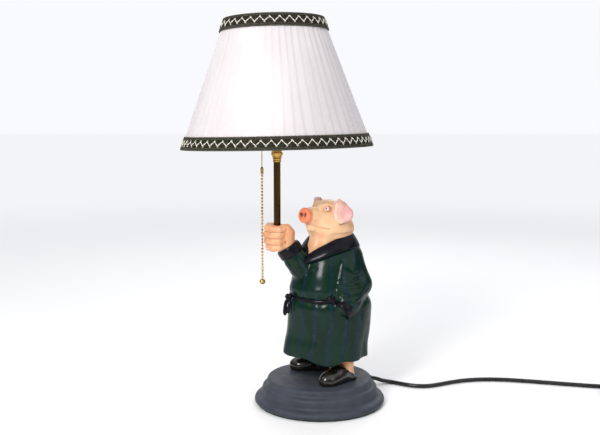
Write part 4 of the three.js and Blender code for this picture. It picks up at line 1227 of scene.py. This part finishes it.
# Each finger, from the top: how far its back stands out, its radius and its slope across the front.
FINGERS = [(0.0, 5.2, -0.6), (1.2, 5.3, 0.2), (0.9, 5.1, 0.8), (-1.4, 4.9, 1.4)]
FINGER_TOP = 249.3
FINGER_PITCH = 8.7


def make_fist(material):
    field = Field((-80, -46, 198), (-24, 4, 261), 0.66)
    values = field.ellipsoid((-55, -18.5, 237.5), (16.5, 13.5, 17))
    values = union(values, field.capsule((-52, -19, 230), (-39, -20.8, 215.5), 14.2, 11.6), 6)
    heel = field.capsule((-44.5, -25, 228), (-42.5, -27, 243), 9.8, 8.0)
    values = union(values, heel, 4)
    thumb = field.chain([(-42, -25, 243, 7.4), (-45, -28.5, 250, 5.2), (-50.5, -31.5, 251.6, 4.2)], 2)
    values = union(values, thumb, 1.6)
    for k, (back, radius, slope) in enumerate(FINGERS):
        z = FINGER_TOP - FINGER_PITCH * k
        finger = field.chain([
            (-62, -9, z + 1.0, radius), (-69.5 - back, -15.5, z + 0.8, radius + 0.3),
            (-70.5 - back, -24.5, z, radius), (-64, -32.5, z - 0.4, radius),
            (-55, -34.2, z - 0.6 + slope, radius - 0.3), (-50.8, -31.8, z - 0.8 + slope, radius - 0.7)], 1.5)
        values = union(values, finger, 1.7)
    values = carve(values, field.capsule((*POLE[:2], 236.3), (*POLE[:2], 275), 4.9), 0.4)
    palm_line = [(-46.6, -33.5, 247), (-46.8, -35, 240), (-46.4, -34, 232), (-48.5, -31, 226)]
    values = crease(field, values, palm_line, 0.9, 1.8)
    points, quads = surface(field, values)
    hand = add_object("fist_sculpted", (points, quads), material, ["fist"])
    x, _, z = points.T
    gaps = [bell(z, FINGER_TOP - FINGER_PITCH * k - 4.5, 0.8) for k in range(3)]
    # Painted shade in the gaps between the fingers.
    store(hand, "deep", 0.5 * np.max(gaps, 0) * fade(x, -49, 0.9))
    knuckles = [(0.5, (-72, -24, FINGER_TOP - FINGER_PITCH * k), 4.5, 4) for k in range(4)]
    store(hand, "blush", np.clip(spots(points, *knuckles, (0.4, (-43, -30, 246), 6, 5)), 0, 1))
    for value in ("snout", "hole", "dark"):
        store(hand, value, 0)


def make_foot(side, place, bearing, heel, leg_material, slipper_material):
    """A bare ankle in a backless slipper, both placed by toe-ward, sideways and up distances."""
    c, s = math.cos(bearing), math.sin(bearing)
    reach = 5.0

    def at(toe, sideways, up):
        return place[0] + c * toe - s * sideways, place[1] + s * toe + c * sideways, BASE_TOP + 0.3 + up

    field = Field((place[0] - 66, place[1] - 52, 34), (place[0] + 34, place[1] + 36, 92), 0.78)
    leg = field.chain([(*at(0, 0, 44), 11.6), (*at(0, 0, 22), 9.6), (*at(1, 0, 10), 9.4)], 3)
    leg = union(leg, field.capsule(at(-3.5, 0, 8.4), at(10, 0, 7.4), 8.6, 7.4), 4)
    leg = carve(leg, field.z - (BASE_TOP + 2.0), 0.6)
    points, quads = surface(field, leg)
    limb = add_object(f"leg_{side}_bare", (points, quads), leg_material, [f"leg_{side}"])
    # Painted shade, darker towards the top of the leg, under the robe's hem.
    store(limb, "deep", np.clip((points[:, 2] - 56) / 16, 0, 0.8))
    for value in ("snout", "hole", "blush", "dark"):
        store(limb, value, 0)
    toe = field.ellipsoid(at(27 + reach, 0, 6.5), (18, 13.2, 12.0), (0, 0, bearing))
    instep = field.ellipsoid(at(16 + reach, 0, 8.5), (15, 12.8, 12.5), (0, 0.25, bearing))
    upper = union(field.capsule(at(heel, 0, 2.0), at(30 + reach, 0, 2.0), 11.2, 12.4),
                  field.capsule(at(heel + 1, 0, 9.0), at(20, 0, 9.0), 10.6, 11.4), 3)
    shoe = union(union(toe, instep, 5), upper, 3)
    # The opening slopes from the instep down to the heel; the near slipper comes higher over the instep.
    low, rise = 9.5, 0.5
    if side == "near":
        low, rise = 12.5, 0.72
        shoe = union(shoe, field.ellipsoid(at(14, 0, 10), (14, 12.4, 15.5), (0, 0.35, bearing)), 4)
    ahead = (field.x - place[0]) * c + (field.y - place[1]) * s
    shoe = carve(shoe, low + rise * ahead + BASE_TOP - field.z, 1.2)
    shoe = carve(shoe, field.z - (BASE_TOP + 0.3), 1.0)
    inside = union(field.ellipsoid(at(4, 0, 10.6), (16.5, 9.4, 8.4), (0, 0, bearing)),
                   field.capsule(at(heel + 4, 0, 12), at(6, 0, 12), 8.2), 2)
    points, quads = surface(field, carve(shoe, inside, 1.0))
    slipper = add_object(f"slipper_{side}_shaped", (points, quads), slipper_material, [f"slipper_{side}"])
    local = points - np.array(at(3, 0, 9.6))
    u, v, w = local[:, 0] * c + local[:, 1] * s, -local[:, 0] * s + local[:, 1] * c, local[:, 2]
    level = np.sqrt((u / 15.5) ** 2 + (v / 9.6) ** 2 + (w / 7.4) ** 2)
    store(slipper, "lining", fade(level, 1.06, 40))


def slipper_paint():
    """Black varnish, dark red where the vertex value lining says so."""
    material, n = varnished("slipper_black", srgb(12, 11, 8), srgb(28, 25, 18), 60, 0.28, 1.0, 0.08)
    black = n.shader.inputs["Base Color"].links[0].from_socket
    n.color(n.mix(n.value("lining"), black, srgb(66, 18, 24)))
    return material


def make_figure():
    navy, _ = varnished("navy_paint", srgb(6, 6, 14), srgb(16, 16, 27), 70, 0.4, 0.22, 0.14, 0.08)
    lid_paint, _ = varnished("lid_paint", srgb(226, 150, 140), srgb(244, 190, 176), 120, 0.4, 0.5, 0.2)
    # The last colour of each skin paint is its painted shade.
    face = skin_material(
        "skin_paint", srgb(244, 203, 160), srgb(234, 188, 144), srgb(238, 158, 124), srgb(186, 122, 84))
    hand = skin_material(
        "hand_paint", srgb(228, 172, 130), srgb(212, 152, 110), srgb(222, 144, 114), srgb(150, 90, 64))
    ankle = skin_material(
        "leg_paint", srgb(246, 192, 146), srgb(236, 176, 128), srgb(238, 160, 124), srgb(206, 140, 96))
    leather = slipper_paint()
    make_robe()
    make_belt(navy)
    make_collar(navy)
    make_cuffs(navy)
    make_head(face)
    make_ears()
    make_eyes(lid_paint)
    make_fist(hand)
    make_foot("near", LEG_NEAR, 1.24 * math.pi, -5, ankle, leather)
    make_foot("far", LEG_FAR, 0.99 * math.pi, -17, ankle, leather)


make_figure()

# ---------------------------------------------------------------- pole, fitting, chain


def on_pole(shape):
    return shape[0] + POLE, shape[1]


def make_fitting(bright):
    aged = metal("aged_brass", srgb(62, 44, 20), srgb(112, 82, 40), 0.13, 30, (1, 1, 0.08))
    pole = [(0, 236), (4.4, 236), (4.75, 236.4), (4.75, 361.2), (4.4, 361.5), (3.3, 361.5), (3.3, 237),
            (0, 237)]
    add_object("pole_polished", turned(pole, 48, POLE), aged, ["pole_tube"], sharp=40)
    ring = [(4.9, 338.5), (5.6, 338.6), (5.9, 339.6), (5.3, 340.6), (5.3, 341.6), (5.9, 342.5), (5.9, 343.3),
            (5.3, 344), (4.9, 344)]
    neck = turned(rounded(ring, 0.3, 2), 64, POLE, closed=True)
    add_object("pole_neck_turned", neck, bright, ["pole_neck"], sharp=60)
    # The check ring: a bowl with a reeded band.
    bowl = [(4.9, 344.3), (6.2, 344.3), (6.7, 345.2), (6.4, 346.2), (6.9, 347), (7.9, 348.4), (8.1, 350),
            (7.7, 351.2), (6.6, 352.2), (4.9, 352.2)]
    points, faces = turned(rounded(bowl, 0.35), 144, closed=True)
    angle = np.arctan2(points[:, 1], points[:, 0])
    reeded = bell(points[:, 2], 349.2, 1.3) * (np.hypot(points[:, 0], points[:, 1]) > 7)
    points[:, :2] *= (1 - 0.035 * reeded * (0.5 + 0.5 * np.cos(angle * 24)))[:, None]
    add_object("check_ring_reeded", on_pole((points, faces)), bright, ["check_ring"])


BEADS = 33
BEAD_PITCH = 4.293
BEAD_R = 1.6
TOP_BEAD_Z = 320.0
END_BALL = (CHAIN[0], CHAIN[1], 176.2)


def make_chain(brass):
    """Hollow beads strung on short links, with a solid ball at the foot."""
    parts = []
    for k in range(BEADS):
        z = TOP_BEAD_Z - BEAD_PITCH * k
        parts.append(ball((CHAIN[0], CHAIN[1], z), (BEAD_R, BEAD_R, BEAD_R), 20, 12))
        if k < BEADS - 1:
            link = [(CHAIN[0], CHAIN[1], z - 1.3), (CHAIN[0], CHAIN[1], z - BEAD_PITCH + 1.3)]
            parts.append(bar(link, 0.42, 8))
    add_object("beads_on_links", merge(*parts), brass, ["bead_chain"], "bead_chain")
    half = [(0, -4), (1.9, -3.6), (3.4, -2.1), (4, 0), (3.4, 2.1), (2.0, 3.45), (1.1, 4.0), (1.0, 4.4),
            (0, 4.4)]
    foot = turned(rounded(half, 0.8), 40, END_BALL)
    seam = turned([(4.02, -0.35), (4.1, 0), (4.02, 0.35), (3.9, 0)], 40, END_BALL, closed=True)
    add_object("end_ball_turned", merge(foot, seam), brass, ["end_ball"], "bead_chain")


bright_brass = metal("bright_brass", srgb(168, 130, 60), srgb(222, 186, 106), 0.22, 120)
make_fitting(bright_brass)
make_chain(bright_brass)

# ---------------------------------------------------------------- the shade

FABRIC_OUT = 1.8
CONE_DROP = (SHADE_LOW_R - SHADE_HIGH_R) / SHADE_HEIGHT
PLEATS = 56
TUCK = 0.6
BRAID_HEIGHT = 17.5


def leaning(shape):
    return lean(shape[0]), shape[1]


def cone_radius(z, inset=0.0):
    return SHADE_LOW_R - inset - CONE_DROP * z


def make_shade_cloth():
    """Cloth pulled over the frame in narrow pleats, gathered at both rings."""
    columns, rows = 8 * PLEATS, 29
    angle = circle(columns)
    height = np.linspace(TUCK, SHADE_HEIGHT - TUCK, rows)
    order = RNG.uniform(0.15, 1.35, PLEATS)
    drift = RNG.uniform(-0.16, 0.16, PLEATS)
    place = angle / (2 * np.pi) * PLEATS
    number = np.floor(place).astype(int) % PLEATS
    within = place - np.floor(place)
    walls = []
    for side in (0.0, 0.55):
        ring = []
        for z in height:
            t = z / SHADE_HEIGHT
            shifted = (within + drift[number] * math.sin(math.pi * t)) % 1
            # Each pleat laps over the next: a slow rise and a quick fall.
            lap = np.where(shifted < 0.8, shifted / 0.8, (1 - shifted) / 0.2)
            soft = 0.62 + 0.4 * (2 * abs(t - 0.5)) ** 1.5
            rib = -0.35 * np.cos(angle * 8) * math.sin(math.pi * t)
            radius = cone_radius(z, FABRIC_OUT) - side + (lap - 0.5) * soft * order[number] - 0.2 + 0.3 * rib
            ring.append(polar(radius, angle, z))
        walls.append(np.concatenate(ring))
    outside = sheet_faces(rows, columns, wrap_columns=True)
    points, faces = merge((walls[0], outside), (walls[1], flipped(outside)))
    shift = len(walls[0])
    for row, flip in ((0, False), (rows - 1, True)):
        for j in range(columns):
            a, b = row * columns + j, row * columns + (j + 1) % columns
            quad = (b, a, shift + a, shift + b)
            faces.append(quad[::-1] if flip else quad)
    weave = (900, 2, 0.5, (1, 1, 0.06))
    material, _ = painted(
        "shade_cloth", (0.60, 0.56, 0.575), (0.68, 0.645, 0.655), (16, 4, 0.5, (1, 1, 0.4)),
        (weave, 0.6, 0.75), (weave, 0.25, 0.0002), Sheen_Weight=0.25, Sheen_Roughness=0.4,
        Specular_IOR_Level=0.3)
    shape = leaning((points, faces))
    return add_object("shade_cloth_pleated", shape, material, ["shade_fabric"], "shade")


def band_point(angle, along, out):
    """A point on the shade's outside: an angle, a height and a distance outwards."""
    slope = math.hypot(1, CONE_DROP)
    return polar(cone_radius(along, 1.5) + out / slope, angle, along + out * CONE_DROP / slope)


def tube_on_band(angle, along, out, size, sides):
    path = band_point(angle, along, out)
    return bar(np.concatenate([path, path[:1]]), size, sides, caps=False)


def braid_band(low, high, around):
    """The woven band, ribbed along its length and thinner at its edges."""
    columns = int(around / 1.5)
    angle = circle(columns)
    profile = []
    for t in np.linspace(0, 1, 21):
        rib = 0.10 * math.cos(t * 2 * math.pi * 10)
        edge = 0.35 * (1 - min(1.0, min(t, 1 - t) * 14))
        profile.append((low + 1.0 + t * (high - low - 2.0), 0.75 + 1.1 * math.sin(math.pi * t) + rib - edge))
    profile += [(high - 0.9, 0.15), (low + 0.9, 0.15)]
    rows = [band_point(angle, a, o + 0.06 * np.sin(angle * columns / 2)) for a, o in profile]
    return np.concatenate(rows), sheet_faces(len(profile), columns, wrap_rows=True, wrap_columns=True)


def braid_cords(low, high, around):
    """Four cords of two twisted strands: a thick one at each edge, and a thin one inside each."""
    cords = []
    for inset, size, twist, rise, lay in ((1.15, 0.66, 0.52, 0.57, 3.6), (3.1, 0.36, 0.28, 1.27, 3.0)):
        turns = int(around / lay)
        angle = circle(turns * 7)
        for along in (low + inset, high - inset):
            for phase in (0, math.pi):
                swing = angle * turns + phase
                height = along + twist * np.sin(swing)
                cords.append(tube_on_band(angle, height, rise + twist * np.cos(swing) * 0.9, size, 5))
    return merge(*cords)


def braid_zigzag(middle, periods):
    """The raised thread, a little uneven in its reach and its width."""
    angle = circle(periods * 16)
    zig = np.abs(angle * periods / (2 * np.pi) % 1 - 0.5) * 4 - 1
    zig = np.sign(zig) * np.abs(zig) ** 0.9
    lift = 2.0 + 0.2 * np.sin(angle * periods * 2)
    corners = periods * 2 + 1
    uneven = np.interp(angle, np.linspace(0, 2 * np.pi, corners), RNG.uniform(0.78, 1.12, corners))
    width = 0.52 + 0.2 * np.sin(angle * periods * 3 + 0.7)
    return tube_on_band(angle, middle + 2.9 * zig * uneven, lift, np.append(width, width[0]), 6)


def braid_stitches(middle, periods):
    """Three short stitches at every corner of the zigzag."""
    stitches = []
    for k in range(periods * 2):
        way = 1 if k % 2 == 0 else -1
        for shift, reach in ((-0.55, 1.3), (0.0, 1.9), (0.55, 1.3)):
            angle = math.pi * k / periods + shift / cone_radius(middle) * 1.6
            heights = middle + way * np.array([2.6, 2.6 + reach])
            stitches.append(bar(band_point(angle, heights, np.array([1.7, 1.35])), 0.32, 5))
    return merge(*stitches)


def make_braid(name, node, low, woven, corded, thread):
    """A woven band with a twisted cord along each edge and a raised zigzag thread."""
    high = low + BRAID_HEIGHT
    middle = (low + high) / 2
    around = 2 * math.pi * cone_radius(middle)
    periods = int(round(around / 12.7))
    parts = (
        ("band", braid_band(low, high, around), woven, [node]),
        ("cords", braid_cords(low, high, around), corded, []),
        ("zigzag", braid_zigzag(middle, periods), thread, []),
        ("stitches", braid_stitches(middle, periods), thread, []))
    return [add_object(f"{name}_{part}", leaning(shape), material, nodes, "shade")
            for part, shape, material, nodes in parts]


def make_shade():
    span = (0.35, 0.68)
    woven, _ = painted(
        "braid_base", srgb(18, 19, 13), srgb(48, 48, 36), (420, 4, 0.6), ((500, 3), 0.6, 0.8),
        ((1300, 2), 0.5, 0.0002), span, Specular_IOR_Level=0.15)
    corded, _ = painted(
        "braid_cord", srgb(34, 34, 26), srgb(84, 82, 66), (700, 3, 0.6), ((500, 3), 0.55, 0.75),
        ((2600, 2), 0.4, 0.00008), span)
    thread, _ = painted(
        "braid_thread", srgb(196, 192, 176), srgb(240, 238, 228), (900, 3, 0.6), ((500, 3), 0.5, 0.7),
        ((3000, 2), 0.4, 0.00006), span)
    cloth = make_shade_cloth()
    trims = make_braid("braid_low", "bottom_braid", 0.2, woven, corded, thread)
    trims += make_braid("braid_high", "top_braid", SHADE_HEIGHT - BRAID_HEIGHT - 0.2, woven, corded, thread)


make_shade()

# ---------------------------------------------------------------- socket, bulb, harp, finial and wire frame

SADDLE_REACH = 26.0
SPIDER_SEAT = 159.6


def make_socket(bright, shell):
    cap = [(5.1, 354.4), (9, 354.4), (9.6, 357), (12.4, 360), (15.2, 362), (16.2, 366), (15, 366), (14, 363),
           (5.1, 359)]
    spun = on_pole(turned(rounded(cap, 0.5), 64, closed=True))
    add_object("socket_cap_spun", spun, shell, ["socket_cap"], sharp=50)
    wall = [(15.2, 366.4), (16, 366.4), (16, 371.6), (16.7, 372.6), (16.7, 374.4), (16, 375.4)]
    for k in range(4):
        low = 399.5 + 2.4 * k
        wall += [(16, low), (15.75, low + 0.6), (15.75, low + 1.2), (16, low + 1.8)]
    wall += [(16, 409), (16.5, 411.2), (15.9, 411.7), (15.2, 411.6)]
    spun = on_pole(turned(rounded(wall, 0.35, 2), 64, closed=True))
    add_object("socket_shell_spun", spun, shell, ["socket_shell"], sharp=50)
    way = CHAIN - POLE[:2]
    reach = float(np.hypot(*way))
    x, y = way / reach
    route = [(15.3, 382), (18.4, 381.6), (20.8, 379.8), (reach, 377), (reach, CHAIN_MOUTH + 0.4)]
    path = smooth_path([(x * d, y * d, z) for d, z in route], 24)
    lip = rounded([(1.4, 0), (3.4, 0), (3.2, 1.2), (2.6, 3), (1.4, 3)], 0.3)
    mouth = turned(lip, 32, (x * reach, y * reach, CHAIN_MOUTH), closed=True)
    guide = on_pole(merge(bar(path, 2.6, 24), mouth))
    add_object("chain_guide_bent", guide, bright, ["chain_guide"], sharp=50)


def make_bulb(cap, glass):
    thread = [(0, 375.7), (6, 375.7), (12.2, 379)]
    for k in range(5):
        for share in np.linspace(0, 1, 8, endpoint=False):
            thread.append((12.5 + 0.42 * math.sin(2 * math.pi * share), 380.2 + 3.63 * (k + share)))
    thread += [(13, 399), (13, 400), (0, 400)]
    add_object("bulb_cap_threaded", on_pole(turned(thread, 56)), cap, ["bulb_base"], "bulb",
               sharp=60)
    outline = [(12.6, 400.3), (13, 406.3), (16.5, 416.3), (22, 428.3), (24, 438.3), (22.4, 448.3),
               (17, 456.7), (9, 461.3), (0, 462.7)]
    curve = smooth_path(outline, 48)
    curve[-1, 0] = 0
    blown = on_pole(turned([(0, 400.3), *curve], 64))
    add_object("bulb_glass_blown", blown, glass, ["bulb_glass"], "bulb", sharp=60)


def make_harp(bright):
    side = [(26, 9.6), (26.6, 20), (35, 45), (42, 80), (41, 112), (33, 138), (18, 153)]
    path = [(0, -y, z) for y, z in side] + [(0, 0, 156.5)] + [(0, y, z) for y, z in reversed(side)]
    seat = [(0, SPIDER_SEAT - 2.4), (7.5, SPIDER_SEAT - 2.4), (7.5, SPIDER_SEAT), (3, SPIDER_SEAT)]
    for k in range(9):
        seat += [(3.0, SPIDER_SEAT + 0.6 + 1.15 * k), (2.7, SPIDER_SEAT + 1.15 + 1.15 * k)]
    seat += [(3, 170.8), (2.6, 171), (0, 171)]
    bent = leaning(merge(bar(smooth_path(path, 110), 1.9, 16, side=(1, 0, 0)), turned(seat, 40)))
    add_object("harp_bent", bent, bright, ["harp"], sharp=50)
    wall = [(3.1, 2.6), (4, 2.6), (4, 12), (4.3, 12.6), (4.3, 13.4), (4, 14), (3.1, 14)]
    for name, y in (("front", -SADDLE_REACH), ("back", SADDLE_REACH)):
        ferrule = leaning(turned(rounded(wall, 0.25), 32, (0, y, 0), closed=True))
        add_object(f"ferrule_{name}_turned", ferrule, bright, [f"harp_ferrule_{name}"])


def make_finial(bright):
    foot = SPIDER_SEAT + 1.8
    wall = [(3.4, foot), (7, foot), (7, foot + 1), (3.4, foot + 1)]
    washer = leaning(turned(rounded(wall, 0.3), 48, closed=True))
    add_object("finial_washer_turned", washer, bright, ["finial_washer"], "finial_carriage",
               sharp=50)
    z = foot + 1.3
    knob = [(3.4, z), (6, z), (6.5, z + 1), (6.4, z + 2), (4.7, z + 3.2), (4.7, z + 4), (5.6, z + 6),
            (5.7, z + 8), (4.9, z + 10.4), (3.2, z + 12), (0, z + 12.8)]
    bore, faces = turned([(0, z + 9.6), (3.4, z + 9.2), (3.4, z)], 56)
    whole = leaning(merge(turned(rounded(knob, 0.7, 4), 56), (bore, flipped(faces))))
    add_object("finial_turned", whole, bright, ["finial"], "finial", sharp=50)


def make_wire_frame(wire):
    """The shade's frame: a ring at each end, eight ribs, and a three-armed spider for the harp."""
    turn = np.linspace(0, 2 * np.pi, 121)
    low_z, high_z = 1.6, SHADE_HEIGHT - 1.6
    low_r, high_r = cone_radius(low_z, 4.75), cone_radius(high_z, 5.3)
    rings = (low_r, low_z), (high_r, high_z)
    parts = [bar(polar(radius, turn, z), 1.2, 10, caps=False) for radius, z in rings]
    for k in range(8):
        ends = polar(np.array([low_r, high_r]), math.pi / 4 * k, np.array([low_z, high_z]))
        parts.append(bar(ends, 0.8, 10))
    welded = leaning(merge(*parts))
    add_object("shade_frame_welded", welded, wire, ["shade_wires"], "shade", sharp=60)
    seat = SPIDER_SEAT + 0.3
    parts = [turned(rounded([(4, seat), (9, seat), (9, seat + 1.2), (4, seat + 1.2)], 0.3), 48, closed=True)]
    reach = high_r - 2.7
    for k in range(3):
        along = np.array([8.4, 0.5 * reach, reach])
        route = polar(along, math.pi / 2 + 2 * math.pi * k / 3, np.array([seat + 1.2, seat + 3.6, high_z]))
        parts.append(bar(smooth_path(route, 24), 1.2, 12))
    welded = leaning(merge(*parts))
    add_object("shade_spider_welded", welded, wire, ["shade_spider"], "shade", sharp=60)


# ---------------------------------------------------------------- the pieces under the shade and the base


def plain_material(name, low, high, scale, rough, bump=0.0, **values):
    material, _ = painted(
        name, low, high, (scale, 4, 0.6), ((scale * 2, 3), rough - 0.06, rough + 0.08),
        ((scale * 2.5, 4), 0.6, bump) if bump else None, **values)
    return material


def finish_hidden_pieces():
    """Makes what the shade hides, and paints the CAD pieces that are shown as they are."""
    bulb = plain_material(
        "bulb_frosted", (0.84, 0.84, 0.82), (0.92, 0.92, 0.9), 60, 0.34, Transmission_Weight=0.2)
    felt = plain_material("felt_green", srgb(28, 48, 40), srgb(46, 68, 58), 600, 0.9, 0.0004)
    phenolic = plain_material("phenolic_black", srgb(20, 18, 17), srgb(36, 31, 27), 120, 0.42)
    lead = plain_material("lead_black", srgb(14, 14, 14), srgb(30, 30, 30), 150, 0.36)
    cap = metal("bulb_cap", srgb(150, 150, 148), srgb(194, 194, 190), 0.3, 200)
    wire = metal("frame_wire", srgb(196, 196, 194), srgb(226, 226, 224), 0.4, 200)
    shell = metal("socket_bronze", srgb(120, 86, 34), srgb(200, 158, 78), 0.26, 160)
    make_socket(bright_brass, shell)
    make_bulb(cap, bulb)
    make_harp(bright_brass)
    make_finial(bright_brass)
    make_wire_frame(wire)
    kept = {
        "base_felt": felt, "mounting_pipe": steel_material, "mounting_nut": steel_material,
        "foot_screw": steel_material, "inner_lead": lead, "harp_saddle": bright_brass,
        "socket_core": phenolic, "centre_contact": bright_brass, "screw_shell": bright_brass,
        "pull_wire": bright_brass, "chain_connector": bright_brass, "bulb_tip": cap,
    }
    for node, material in kept.items():
        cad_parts[node].data.materials.clear()
        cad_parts[node].data.materials.append(material)


finish_hidden_pieces()
make_studio()
